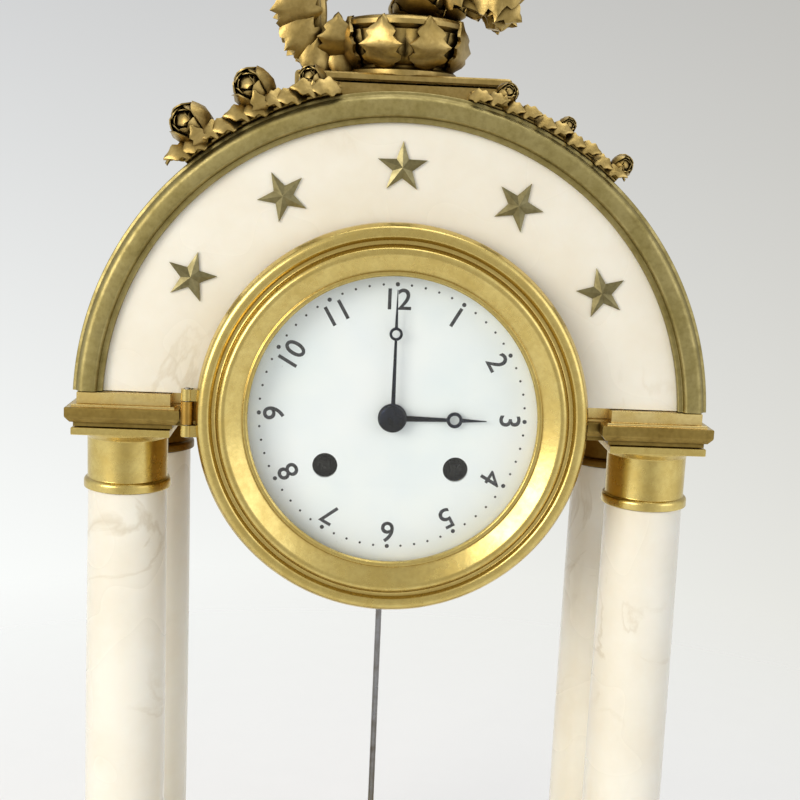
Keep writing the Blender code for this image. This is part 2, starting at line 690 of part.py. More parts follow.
bezel_axis = empty("bezel_axis", pin_at)
TO_DIAL = (-HINGE_X, -HINGE_Y, 0.0)
LIP_BACK = BEZEL_FRONT + BEZEL_D * 0.35
REBATE_R = APERTURE_R + 2.0
broad = BEZEL_R - APERTURE_R
bezel_profile = [
    (BEZEL_R, BEZEL_BACK),
    (BEZEL_R, BEZEL_FRONT + BEZEL_D * 0.42),
    (BEZEL_R - 0.08 * broad, BEZEL_FRONT + BEZEL_D * 0.16),
    (BEZEL_R - 0.25 * broad, BEZEL_FRONT + BEZEL_D * 0.14),
    (BEZEL_R - 0.33 * broad, BEZEL_FRONT + BEZEL_D * 0.26),
    (BEZEL_R - 0.39 * broad, BEZEL_FRONT + BEZEL_D * 0.26),
    (BEZEL_R - 0.47 * broad, BEZEL_FRONT),
    (BEZEL_R - 0.58 * broad, BEZEL_FRONT),
    (BEZEL_R - 0.89 * broad, LIP_BACK - BEZEL_LIP),
    (APERTURE_R, LIP_BACK - BEZEL_LIP),
    (APERTURE_R, LIP_BACK),
    (REBATE_R, LIP_BACK),
    (REBATE_R, BEZEL_BACK),
]
knuckles = []
for z0, z1 in ((half + SEAT, 2 * half + SEAT), (-2 * half - SEAT, -half - SEAT)):
    web = block(HINGE_X, -BEZEL_R + 1.6, HINGE_Y - HINGE_R * 0.8, HINGE_Y + HINGE_R * 0.8, z0, z1)
    knuckles.append(combined(hinge_rod(z0, z1, HINGE_R), [web]))
bezel = combined(turned(bezel_profile, ROUND_SIDES), knuckles)
bezel = combined(bezel, [hinge_rod(-2 * half - 2.0, 2 * half + 2.0, hole(PIN_R), 8)], "DIFFERENCE")
piece("bezel", bezel, GILT, TO_DIAL, bezel_axis)
GLASS_R = REBATE_R - 0.5
GLASS_FRONT = LIP_BACK + SEAT
DOME_R = APERTURE_R - 1.0
dome = [(k * DOME_R, GLASS_RISE * (1 - k * k)) for k in (0.0, 0.5, 0.82, 1.0)]
glass = [(r, GLASS_FRONT + GLASS_T - rise) for r, rise in dome]
glass += [(GLASS_R, GLASS_FRONT + GLASS_T), (GLASS_R, GLASS_FRONT)]
glass += [(r, GLASS_FRONT - rise) for r, rise in reversed(dome)]
piece("bezel_glass", turned(glass, ROUND_SIDES), GLASS, TO_DIAL, bezel_axis)

# Back cover: a pressed-in cap that pulls off
cover_axis = empty("back_cover_axis", AT_DIAL)
skirt = DRUM_IN - RUN
cover = [
    (0.0, DRUM_BACK + SEAT),
    (skirt - 1.6, DRUM_BACK + SEAT),
    (skirt - 1.6, DRUM_BACK - COVER_SKIRT),
    (skirt, DRUM_BACK - COVER_SKIRT),
    (skirt, DRUM_BACK + SEAT),
    (DRUM_R + 1.2, DRUM_BACK + SEAT),
    (DRUM_R + 1.2, DRUM_BACK + SEAT + COVER_T * 0.6),
    (DRUM_R, DRUM_BACK + SEAT + COVER_T),
    (3.0, DRUM_BACK + SEAT + COVER_T),
    (3.0, DRUM_BACK + SEAT + COVER_T + 1.5),
    (4.2, DRUM_BACK + SEAT + COVER_T + 3.5),
    (0.0, DRUM_BACK + SEAT + COVER_T + 4.5),
]
piece("back_cover", turned(cover, ROUND_SIDES), BRASS, (0.0, 0.0, 0.0), cover_axis)

# Gear sizes
BARREL_GEAR_R, BARREL_PINION_R = pitch_radii(BARREL_TEETH, BARREL_LEAVES, BARREL_CENTRES)
MIDDLE_R, CENTRE_PINION_R = pitch_radii(MIDDLE_TEETH, MIDDLE_LEAVES, MIDDLE_CENTRES)
CENTRE_R, THIRD_PINION_R = pitch_radii(CENTRE_TEETH, CENTRE_LEAVES, CENTRE_CENTRES)
THIRD_R, ESCAPE_PINION_R = pitch_radii(THIRD_TEETH, THIRD_LEAVES, THIRD_CENTRES)
MINUTE_R, CANNON_GEAR_R = pitch_radii(MINUTE_TEETH, CANNON_LEAVES, MOTION_CENTRES)
HOUR_R, MINUTE_PINION_R = pitch_radii(HOUR_TEETH, MINUTE_LEAVES, MOTION_CENTRES)
THIRD_ARBOR_R = THIRD_PINION_R * 0.45
ESCAPE_ARBOR_R = ESCAPE_PINION_R * 0.5
WIND_R = 2.3
ANCHOR_ARBOR_R = 1.0
HOLES = (
    (GOING_AT, WIND_R),
    (STRIKE_AT, WIND_R),
    (CENTRE_AT, ARBOR_R),
    (MIDDLE_AT, ARBOR_R),
    (THIRD_AT, THIRD_ARBOR_R),
    (ESCAPE_AT, ESCAPE_ARBOR_R),
    (ANCHOR_AT, ANCHOR_ARBOR_R),
    (STRIKE_WHEEL_AT, ARBOR_R),
)


def post(at, radius, low, high, sides=8):
    """A round post along Y."""
    line = circle(radius, sides, at)
    return built_up([(low, line), (high, line)], "Y")


def pierced_plate(front, back):
    """A movement plate with its pivot holes."""
    bores = [(circle(hole(r), 8, at), front, back) for at, r in HOLES]
    line = circle(PLATE_R, ROUND_SIDES)
    return built_up([(front, line), (back, line)], "Y", bores)


# Movement frame: pillars and the minute-wheel stud are riveted to the front plate
posts = []
for angle in PILLAR_ANGLES:
    t = math.radians(angle)
    at = (PILLAR_PLACE_R * math.cos(t), PILLAR_PLACE_R * math.sin(t))
    posts.append(post(at, PILLAR_R, TRAIN_FRONT - PLATE_T / 2, BACK_PLATE_Y - SEAT))
STUD_R = 1.0
MOTION_LAYER = PLATE_FRONT - 1.2
MINUTE_BACK = MOTION_LAYER + 0.5
HOUR_BACK = MOTION_LAYER - WHEEL_T - 1.0
MINUTE_FRONT = HOUR_BACK - WHEEL_T - 0.5
posts.append(post(MINUTE_AT, STUD_R, MINUTE_FRONT - 0.4, TRAIN_FRONT - PLATE_T / 2))
piece("front_plate", combined(pierced_plate(PLATE_FRONT, TRAIN_FRONT), posts), BRASS, AT_DIAL)

STAND_AT = (24.0, -30.0)
inside = BACK_PLATE_BACK - PLATE_T / 2
BELL_INSIDE = BELL_BACK - BELL_WALL
stand = built_up(
    [
        (STAND_Y, circle(4.0, 10)),
        (BELL_INSIDE - SEAT, circle(4.0, 10)),
        (BELL_INSIDE - SEAT, circle(2.0, 10)),
        (BELL_BACK + SEAT, circle(2.0, 10)),
        (BELL_BACK + SEAT, circle(4.4, 6)),
        (NUT_BACK, circle(4.4, 6)),
    ],
    "Y",
)
along = Vector(STAND_AT).normalized()
across = Vector((-along.y, along.x)) * 2.4
end = Vector(STAND_AT)
bar = [tuple(end + across), tuple(across), tuple(-across), tuple(end - across)]
back_parts = [
    post(STAND_AT, 3.0, inside, STAND_Y + STAND_T),
    ribbon(bar, STAND_Y, STAND_Y + STAND_T),
    stand,
    post(HAMMER_PIVOT, 1.6, inside, STAND_Y + STAND_T + 2.4),
]
piece("back_plate", combined(pierced_plate(BACK_PLATE_Y, BACK_PLATE_BACK), back_parts), BRASS, AT_DIAL)

# Pendulum cock: a bridge over the pallet arbor with the pin that the pendulum hangs from
EYE_R = 1.2
COCK_HALF_L = 12.0
COCK_HALF_H = 4.5
COCK_LEG = 3.0
bridge = rectangle(COCK_HALF_L, COCK_HALF_H)
bridge_bore = (circle(hole(ANCHOR_ARBOR_R), 8), COCK_Y, COCK_Y + 1.6)
cock = built_up(
    [
        (COCK_Y, bridge),
        (COCK_Y + COCK_T, bridge),
        (COCK_Y + COCK_T, circle(EYE_R, 8)),
        (PENDULUM_Y + 1.6, circle(EYE_R, 8)),
        (PENDULUM_Y + 1.6, circle(EYE_R + 1.2, 10)),
        (PENDULUM_Y + 2.6, circle(EYE_R + 1.2, 10)),
    ],
    "Y",
    [bridge_bore],
)
legs = []
for x in (-COCK_HALF_L + 0.4, COCK_HALF_L - COCK_LEG - 0.4):
    z = COCK_HALF_H - 0.5
    legs.append(block(x, x + COCK_LEG, BACK_PLATE_BACK + SEAT, COCK_Y + 1.0, -z, z))
piece("pendulum_cock", combined(cock, legs), BRASS, (0.0, 0.0, DIAL_Z + ANCHOR_Z))


def arbor(name, at):
    """An empty on an arbor's axis."""
    return empty(name, (at[0], 0.0, DIAL_Z + at[1]))


def at_layer(layer):
    """Depth of a train layer."""
    return TRAIN_FRONT + layer


PIVOT_FRONT = PLATE_FRONT + 0.2
PIVOT_BACK = BACK_PLATE_BACK - 0.2


def wheel_on_arbor(radius, front, back, *discs):
    """An arbor with wheels and pinions on it, each (front, back, outline), from front to back."""
    rod = circle(radius, 8)
    sections = [(front, rod)]
    for low, high, line in discs:
        sections += [(low, rod), (low, line), (high, line), (high, rod)]
    return built_up(sections + [(back, rod)], "Y")


# Barrels: each holds its mainspring and turns on its own winding arbor
SPRING_OUT = BARREL_R - BARREL_WALL - 0.9
print("mainspring least gap mm", round(SPRING_PITCH - SPRING_T, 2))
for train, at in (("going", GOING_AT), ("strike", STRIKE_AT)):
    axis = arbor(train + "_barrel_axis", at)
    gear_y = at_layer(BARREL_LAYER)
    cup = gear_y + WHEEL_T
    teeth = gear(BARREL_TEETH, BARREL_GEAR_R, 0.0)
    inner = BARREL_R - BARREL_WALL
    bore_r = hole(WIND_R)
    barrel = built_up(
        [
            (gear_y, teeth),
            (cup, teeth),
            (cup, circle(BARREL_R, 20)),
            (cup + BARREL_L, circle(BARREL_R, 20)),
            (cup + BARREL_L, circle(bore_r, 8)),
            (cup + BARREL_L - BARREL_WALL, circle(bore_r, 8)),
            (cup + BARREL_L - BARREL_WALL, circle(inner, 20)),
            (cup + BARREL_WALL, circle(inner, 20)),
            (cup + BARREL_WALL, circle(bore_r, 8)),
            (gear_y, circle(bore_r, 8)),
        ],
        "Y",
        looped=True,
    )
    piece(train + "_barrel", barrel, BRASS, (0.0, 0.0, 0.0), axis)
    coil = []
    steps = 10 * SPRING_TURNS
    for offset, sweep in ((0.0, range(steps + 1)), (SPRING_T, range(steps, -1, -1))):
        for i in sweep:
            r = SPRING_OUT - offset - SPRING_PITCH * i / 10
            coil.append((r * math.cos(math.tau * i / 10), r * math.sin(math.tau * i / 10)))
    edge = 0.8
    spring = ribbon(coil, cup + BARREL_WALL + edge, cup + BARREL_L - BARREL_WALL - edge)
    piece(train + "_mainspring", spring, STEEL, (0.0, 0.0, 0.0), axis)
    winder = arbor(train + "_winding_axis", at)
    square = circle(WIND_R, 4, start=math.pi / 4)
    ratchet = []
    for i in range(16):
        a = math.tau * i / 16
        ratchet += [(6.8 * math.cos(a), 6.8 * math.sin(a)), (5.4 * math.cos(a), 5.4 * math.sin(a))]
    ratchet = [ratchet[-1]] + ratchet[:-1]
    rod = circle(WIND_R, 8)
    winding = built_up(
        [
            (FLANGE_FRONT + 0.6, square),
            (PLATE_FRONT - 3.2, square),
            (PLATE_FRONT - 3.2, ratchet),
            (PLATE_FRONT - 1.2, ratchet),
            (PLATE_FRONT - 1.2, rod),
            (PIVOT_BACK, rod),
        ],
        "Y",
    )
    piece(train + "_winding_arbor", winding, STEEL, (0.0, 0.0, 0.0), winder)

# Going train: barrel to intermediate wheel to centre, third and escape wheels
barrel_y = at_layer(BARREL_LAYER)
middle_y = at_layer(MIDDLE_LAYER)
centre_y = at_layer(CENTRE_LAYER)
third_y = at_layer(THIRD_LAYER)
escape_y = at_layer(ESCAPE_LAYER)
over = (LEAF_L - WHEEL_T) / 2
leaves = gear(BARREL_LEAVES, BARREL_PINION_R, meshed(GOING_AT, MIDDLE_AT, BARREL_TEETH, BARREL_LEAVES), True)
wheel = wheel_on_arbor(
    ARBOR_R,
    PIVOT_FRONT,
    PIVOT_BACK,
    (middle_y, middle_y + WHEEL_T, gear(MIDDLE_TEETH, MIDDLE_R, 0.0)),
    (barrel_y - over, barrel_y + WHEEL_T + over, leaves),
)
piece("intermediate_wheel", wheel, BRASS, (0.0, 0.0, 0.0), arbor("intermediate_axis", MIDDLE_AT))

MINUTE_HAND_Y = FLANGE_FRONT - 1.2 - HAND_T - 1.0
CANNON_FRONT = MINUTE_HAND_Y - HAND_T - 0.5
centre_axis = arbor("centre_axis", CENTRE_AT)
leaves = gear(MIDDLE_LEAVES, CENTRE_PINION_R, meshed(MIDDLE_AT, CENTRE_AT, MIDDLE_TEETH, MIDDLE_LEAVES), True)
wheel = wheel_on_arbor(
    ARBOR_R,
    CANNON_FRONT - 0.5,
    PIVOT_BACK,
    (middle_y - over, middle_y + WHEEL_T + over, leaves),
    (centre_y, centre_y + WHEEL_T, gear(CENTRE_TEETH, CENTRE_R, 0.0)),
)
piece("centre_wheel", wheel, BRASS, (0.0, 0.0, 0.0), centre_axis)

leaves = gear(CENTRE_LEAVES, THIRD_PINION_R, meshed(CENTRE_AT, THIRD_AT, CENTRE_TEETH, CENTRE_LEAVES), True)
wheel = wheel_on_arbor(
    THIRD_ARBOR_R,
    PIVOT_FRONT,
    PIVOT_BACK,
    (centre_y - over, centre_y + WHEEL_T + over, leaves),
    (third_y, third_y + WHEEL_T, gear(THIRD_TEETH, THIRD_R, 0.0)),
)
piece("third_wheel", wheel, BRASS, (0.0, 0.0, 0.0), arbor("third_axis", THIRD_AT))

leaves = gear(THIRD_LEAVES, ESCAPE_PINION_R, meshed(THIRD_AT, ESCAPE_AT, THIRD_TEETH, THIRD_LEAVES), True)
teeth = []
for i in range(ESCAPE_TEETH):
    a = math.tau * i / ESCAPE_TEETH
    for r, t in ((ESCAPE_R * 0.86, a - 0.05), (ESCAPE_R, a)):
        teeth.append((r * math.cos(t), r * math.sin(t)))
wheel = wheel_on_arbor(
    ESCAPE_ARBOR_R,
    PIVOT_FRONT,
    PIVOT_BACK,
    (escape_y, escape_y + WHEEL_T, teeth),
    (third_y - over, third_y + WHEEL_T + over, leaves),
)
piece("escape_wheel", wheel, BRASS, (0.0, 0.0, 0.0), arbor("escape_axis", ESCAPE_AT))

# Strike train: the barrel drives one wheel, and the hammer hangs behind the back plate
phase = meshed(STRIKE_AT, STRIKE_WHEEL_AT, BARREL_TEETH, BARREL_LEAVES)
leaves = gear(BARREL_LEAVES, BARREL_PINION_R, phase, True)
wheel = wheel_on_arbor(
    ARBOR_R,
    PIVOT_FRONT,
    PIVOT_BACK,
    (barrel_y - over, barrel_y + WHEEL_T + over, leaves),
    (third_y, third_y + WHEEL_T, gear(BARREL_TEETH, STRIKE_R, 0.0)),
)
piece("strike_wheel", wheel, BRASS, (0.0, 0.0, 0.0), arbor("strike_wheel_axis", STRIKE_WHEEL_AT))

t = math.radians(HAMMER_DEG)
head_r = BELL_R + 0.6 + HAMMER_HEAD_R
head = Vector((head_r * math.cos(t), head_r * math.sin(t))) - Vector(HAMMER_PIVOT)
bush = built_up(
    [(BACK_PLATE_BACK + SEAT, circle(3.2, 10)), (STAND_Y + STAND_T + 1.5, circle(3.2, 10))],
    "Y",
    [(circle(hole(1.6), 8), BACK_PLATE_BACK + SEAT, STAND_Y + STAND_T + 1.5)],
)
side = Vector((-head.y, head.x)).normalized() * 1.6
near = head.normalized() * 2.6
arm = [tuple(near + side), tuple(near - side), tuple(head - side), tuple(head + side)]
hammer = combined(
    bush,
    [
        ribbon(arm, STAND_Y - 1.0, STAND_Y + 1.5),
        post(tuple(head), HAMMER_HEAD_R, STAND_Y - 1.5, BELL_MOUTH + 5.0),
    ],
)
piece("hammer", hammer, STEEL, (0.0, 0.0, 0.0), arbor("hammer_axis", HAMMER_PIVOT))

bell = [(hole(2.0), BELL_BACK), (hole(2.0), BELL_INSIDE)]
for k in (0.55, 0.87, 1.0):
    depth = math.sqrt(max(1.0 - k * k, 0.0))
    bell.append((k * BELL_R - BELL_WALL, BELL_MOUTH + depth * (BELL_DEPTH - BELL_WALL)))
for k in (1.0, 0.87, 0.55):
    depth = math.sqrt(max(1.0 - k * k, 0.0))
    bell.append((k * BELL_R, BELL_MOUTH + depth * BELL_DEPTH))
piece("bell", turned(bell, 24), BELL_METAL, AT_DIAL)

# Motion work and hands: twelve turns of the minute hand to one of the hour hand
cannon_back = PLATE_FRONT - 0.4
bore = (circle(hole(ARBOR_R), 8), CANNON_FRONT, cannon_back)
phase = meshed(MINUTE_AT, CENTRE_AT, MINUTE_TEETH, CANNON_LEAVES)
cannon_gear = gear(CANNON_LEAVES, CANNON_GEAR_R, phase, True)
pipe = circle(CANNON_R, 10)
cannon = built_up(
    [
        (CANNON_FRONT, pipe),
        (MOTION_LAYER - WHEEL_T - 0.3, pipe),
        (MOTION_LAYER - WHEEL_T - 0.3, cannon_gear),
        (cannon_back, cannon_gear),
    ],
    "Y",
    [bore],
)
piece("cannon_pinion", cannon, STEEL, (0.0, 0.0, 0.0), centre_axis)

minute_axis = arbor("minute_wheel_axis", MINUTE_AT)
minute_pinion = gear(MINUTE_LEAVES, MINUTE_PINION_R, 0.0, True)
minute_teeth = gear(MINUTE_TEETH, MINUTE_R, 0.0)
bore = (circle(hole(STUD_R), 8), MINUTE_FRONT, MOTION_LAYER)
minute = built_up(
    [
        (MINUTE_FRONT, minute_pinion),
        (MOTION_LAYER - WHEEL_T, minute_pinion),
        (MOTION_LAYER - WHEEL_T, minute_teeth),
        (MOTION_LAYER, minute_teeth),
    ],
    "Y",
    [bore],
)
piece("minute_wheel", minute, BRASS, (0.0, 0.0, 0.0), minute_axis)

HOUR_HAND_Y = FLANGE_FRONT - 1.2
hour_axis = arbor("hour_axis", CENTRE_AT)
hour_front = HOUR_HAND_Y - HAND_T - 0.4
line = math.atan2(CENTRE_AT[1] - MINUTE_AT[1], CENTRE_AT[0] - MINUTE_AT[0])
hour_phase = line + math.pi + MINUTE_LEAVES / HOUR_TEETH * line + math.pi / HOUR_TEETH
bore = (circle(hole(CANNON_R, 10), 10), hour_front, HOUR_BACK)
hour = built_up(
    [
        (hour_front, circle(HOUR_PIPE_R, 12)),
        (HOUR_BACK - WHEEL_T, circle(HOUR_PIPE_R, 12)),
        (HOUR_BACK - WHEEL_T, gear(HOUR_TEETH, HOUR_R, hour_phase)),
        (HOUR_BACK, gear(HOUR_TEETH, HOUR_R, hour_phase)),
    ],
    "Y",
    [bore],
)
piece("hour_wheel", hour, BRASS, (0.0, 0.0, 0.0), hour_axis)


def hand(length, boss, width, ring_r, bore_r, front):
    """A slim hand pointing up, with a pierced ring towards its tip."""
    ring_at = length * 0.66
    turns = [math.radians(12 + 24 * i) for i in range(15)]
    points = [(boss * math.sin(t), boss * math.cos(t)) for t in turns]
    points = [p for p in points if p[1] < boss * 0.9 or abs(p[0]) > width]
    left = [(-width, boss * 0.97), (-width * 0.7, ring_at - ring_r * 0.95)]
    arc = [math.radians(200 - 160 / 6 * i) for i in range(1, 6)]
    left += [(ring_r * math.cos(t), ring_at + ring_r * math.sin(t)) for t in arc if math.cos(t) < -0.2]
    left += [(-width * 0.7, ring_at + ring_r * 0.97), (-width * 0.3, length)]
    right = [(-u, v) for u, v in reversed(left)]
    outline = points + left + right
    bores = [(circle(bore_r, 8), front, front + HAND_T)]
    bores.append((circle(ring_r * 0.6, 10, (0.0, ring_at)), front, front + HAND_T))
    return built_up([(front, outline), (front + HAND_T, outline)], "Y", bores)


minute_hand = hand(MINUTE_HAND_L, CANNON_R + 1.8, 0.8, 2.4, hole(CANNON_R), MINUTE_HAND_Y - HAND_T)
piece("minute_hand", minute_hand, BLUED, (0.0, 0.0, 0.0), centre_axis)
hour_hand = hand(HOUR_HAND_L, HOUR_PIPE_R + 1.9, 1.1, 2.9, hole(HOUR_PIPE_R), HOUR_HAND_Y - HAND_T)
made = piece("hour_hand", hour_hand, BLUED, (0.0, 0.0, 0.0), hour_axis)
made.rotation_euler = (0.0, math.pi / 2, 0.0)

# Escapement: the pallet anchor and its crutch swing with the pendulum
pallet = [(-12.5, -6.5), (-11.0, -9.2), (-9.6, -8.0)]
anchor_line = [(0.0, 3.5), *pallet, (0.0, -2.0), *[(-u, v) for u, v in reversed(pallet)]]
anchor = post((0.0, 0.0), ANCHOR_ARBOR_R, PIVOT_FRONT, COCK_Y + 1.3)
prong = PENDULUM_ROD_R + 0.35
fork_top = -CRUTCH_L + 3.0
fork_web = CRUTCH_Y + CRUTCH_T + 0.4
outside = prong + 1.4
fork = [(-outside, CRUTCH_Y + 0.25), (outside, CRUTCH_Y + 0.25), (outside, FORK_BACK), (prong, FORK_BACK)]
fork += [(prong, fork_web), (-prong, fork_web), (-prong, FORK_BACK), (-outside, FORK_BACK)]
strip = [(-1.5, 2.0), (-1.5, fork_top - 1.5), (1.5, fork_top - 1.5), (1.5, 2.0)]
crutch = [
    ribbon(strip, CRUTCH_Y, CRUTCH_Y + CRUTCH_T),
    built_up([(-CRUTCH_L, fork), (fork_top, fork)]),
]
anchor = combined(anchor, [ribbon(anchor_line, escape_y - 1.2, escape_y + WHEEL_T + 1.2), *crutch])
piece("pallet_anchor", anchor, STEEL, (0.0, 0.0, 0.0), arbor("anchor_axis", ANCHOR_AT))

pendulum_axis = arbor("pendulum_axis", ANCHOR_AT)
ROD_END = -PENDULUM_REACH
eye_bore = (circle(hole(EYE_R), 8), PENDULUM_Y - 1.0, PENDULUM_Y + 1.0)
eye_line = circle(hole(EYE_R) + 1.6, 12)
eye = built_up([(PENDULUM_Y - 1.0, eye_line), (PENDULUM_Y + 1.0, eye_line)], "Y", [eye_bore])
rod_line = circle(PENDULUM_ROD_R, 8, (0.0, PENDULUM_Y))
rod = built_up([(ROD_END, rod_line), (-hole(EYE_R) - 0.8, rod_line)])
piece("pendulum_rod", combined(rod, [eye]), STEEL, (0.0, 0.0, 0.0), pendulum_axis)
bob = [(0.0, -BOB_T / 2)]
bob += [(BOB_R * k, -BOB_T / 2 * math.sqrt(1 - k * k * 0.96)) for k in (0.5, 0.85, 1.0)]
bob += [(BOB_R * k, BOB_T / 2 * math.sqrt(1 - k * k * 0.96)) for k in (1.0, 0.85, 0.5)]
bob.append((0.0, BOB_T / 2))
drill_line = circle(hole(PENDULUM_ROD_R), 8)
drill = built_up([(-BOB_R - 2.0, drill_line), (BOB_R + 2.0, drill_line)])
bob = combined(turned(bob, 24), [drill], "DIFFERENCE")
piece("pendulum_bob", bob, GILT, (0.0, PENDULUM_Y, -PENDULUM_L), pendulum_axis)
nut_axis = empty("rating_nut_axis", (0.0, PENDULUM_Y, -PENDULUM_L - BOB_R - SEAT), pendulum_axis)
knurl = []
for i in range(18):
    a = math.tau * i / 18
    r = NUT_R if i % 2 else NUT_R * 0.9
    knurl.append((r * math.cos(a), r * math.sin(a)))
nut_bore = (circle(hole(PENDULUM_ROD_R), 8), -NUT_T, 0.0)
nut = built_up([(-NUT_T, knurl), (0.0, knurl)], "Z", [nut_bore])
piece("rating_nut", nut, GILT, (0.0, 0.0, 0.0), nut_axis)
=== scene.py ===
import math

import bmesh
import bpy
from mathutils import Matrix, Vector


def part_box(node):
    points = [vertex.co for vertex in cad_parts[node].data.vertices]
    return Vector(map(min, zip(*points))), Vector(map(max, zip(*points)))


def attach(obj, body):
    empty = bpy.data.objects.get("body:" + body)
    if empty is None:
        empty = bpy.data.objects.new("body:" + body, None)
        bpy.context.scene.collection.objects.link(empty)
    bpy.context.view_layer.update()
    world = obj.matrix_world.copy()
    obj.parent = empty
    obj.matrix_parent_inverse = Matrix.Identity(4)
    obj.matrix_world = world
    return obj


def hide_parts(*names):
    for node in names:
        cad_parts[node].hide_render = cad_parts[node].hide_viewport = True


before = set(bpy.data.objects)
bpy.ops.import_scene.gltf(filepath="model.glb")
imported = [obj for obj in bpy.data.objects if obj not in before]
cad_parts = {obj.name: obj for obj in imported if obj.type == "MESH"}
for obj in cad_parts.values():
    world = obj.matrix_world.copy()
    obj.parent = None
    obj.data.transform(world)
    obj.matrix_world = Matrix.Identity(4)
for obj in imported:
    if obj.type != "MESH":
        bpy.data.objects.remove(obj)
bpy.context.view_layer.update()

# Plinth
# One block of white marble, sawn and moulded in three courses and polished all over. The four columns stand
# on it, and their tie rods pass through it to the feet.
MM = 0.001
SLAB_H = 12.0
DIE_H = 24.0
DIE_INSET = 9.0
TOP_INSET = 4.0
TOP_LAND = 20.0
WORN_EDGE = 0.5


def box_mm(node):
    """Lowest corner, highest corner and middle of a CAD node, in millimetres."""
    low, high = (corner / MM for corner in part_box(node))
    return low, high, (low + high) / 2


def colour(hex_value):
    """A linear colour from an sRGB hex value."""
    parts = [int(hex_value[i : i + 2], 16) / 255 for i in (1, 3, 5)]
    return (*[p / 12.92 if p <= 0.04045 else ((p + 0.055) / 1.055) ** 2.4 for p in parts], 1.0)


def set_inputs(tree, node, inputs):
    """Sets a node's inputs from values, or links them to the sockets that feed them."""
    for name, value in inputs.items():
        if isinstance(value, bpy.types.NodeSocket):
            tree.links.new(value, node.inputs[name])
        else:
            node.inputs[name].default_value = value


def add_node(tree, kind, inputs=None, out=0, **settings):
    """Adds a node with its settings and inputs, and hands on one of its outputs, or all of them for None."""
    made = tree.nodes.new(kind)
    for name, value in settings.items():
        setattr(made, name, value)
    set_inputs(tree, made, inputs or {})
    return made.outputs if out is None else made.outputs[out]


def features(place, size, **more):
    """The inputs of a texture whose features have a size in millimetres."""
    return {"Vector": place, "Scale": 1.0 / (size * MM), **more}


def shaded(tree, value, span, first, second, most=1.0):
    """A colour that goes from one to another, each a hex value or a socket, while a value crosses a span."""
    limits = {"Value": value, "From Min": span[0], "From Max": span[1], "To Max": most}
    share = add_node(tree, "ShaderNodeMapRange", limits)
    sides = [colour(c) if isinstance(c, str) else c for c in (first, second)]
    return add_node(tree, "ShaderNodeMix", {0: share, 6: sides[0], 7: sides[1]}, 2, data_type="RGBA")


def wander(tree, place, size, span, to, **texture):
    """A value that wanders between two limits in patches of a size in millimetres."""
    cloud = add_node(tree, "ShaderNodeTexNoise", features(place, size, **texture))
    limits = {"Value": cloud, "From Min": span[0], "From Max": span[1], "To Min": to[0], "To Max": to[1]}
    return add_node(tree, "ShaderNodeMapRange", limits)


def in_patches(name, size, tones, tone_span, polish=None, polish_span=(0.3, 0.7), **texture):
    """A material of two tones in patches of a size in millimetres, whose polish may vary with them."""
    made = bpy.data.materials.new(name)
    made.use_nodes = True
    tree = made.node_tree
    shader = tree.nodes["Principled BSDF"]
    place = add_node(tree, "ShaderNodeTexCoord", out="Object")
    patch = add_node(tree, "ShaderNodeTexNoise", features(place, size, **texture))
    tone = shaded(tree, patch, tone_span, *tones)
    set_inputs(tree, shader, {"Base Color": tone})
    if polish:
        limits = {"Value": patch, "From Min": polish_span[0], "From Max": polish_span[1]}
        rough = add_node(tree, "ShaderNodeMapRange", {**limits, "To Min": polish[0], "To Max": polish[1]})
        set_inputs(tree, shader, {"Roughness": rough})
    return made, tree, shader, place, patch, tone


# White statuary marble, sawn and polished: a warm glow, soft grey clouds and a few thin veins
MARBLE, tree, shader, place, _, clouds = in_patches(
    "polished_white_marble", 42.0, ("#F6F2E4", "#EDE5D1"), (0.36, 0.72), Detail=5.0, Roughness=0.6
)
run = add_node(tree, "ShaderNodeTexNoise", features(place, 58.0, Detail=7.0, Roughness=0.55, Distortion=0.9))
off_vein = add_node(tree, "ShaderNodeMath", {0: run, 1: 0.5}, operation="SUBTRACT")
width = add_node(tree, "ShaderNodeMath", {0: off_vein}, operation="ABSOLUTE")
thin = add_node(tree, "ShaderNodeMapRange", {"Value": width, "From Max": 0.022, "To Min": 1.0, "To Max": 0.0})
veined_parts = wander(tree, place, 90.0, (0.48, 0.64), (0.0, 1.0), Detail=2.0)
vein = add_node(tree, "ShaderNodeMath", {0: thin, 1: veined_parts}, operation="MULTIPLY")
grain = add_node(tree, "ShaderNodeTexNoise", features(place, 1.4, Detail=3.0))
marble_finish = {
    "Base Color": shaded(tree, vein, (0.0, 1.0), clouds, "#C6B694", most=0.4),
    "Roughness": wander(tree, place, 40.0, (0.3, 0.7), (0.25, 0.29), Detail=1.0),
    "Normal": add_node(tree, "ShaderNodeBump", {"Height": grain, "Strength": 0.02, "Distance": 0.0004}),
    "Subsurface Weight": 0.12,
    "Subsurface Scale": 0.004,
    "Subsurface Radius": (1.0, 0.8, 0.6),
    "Coat Weight": 0.25,
    "Coat Roughness": 0.12,
}
set_inputs(tree, shader, marble_finish)


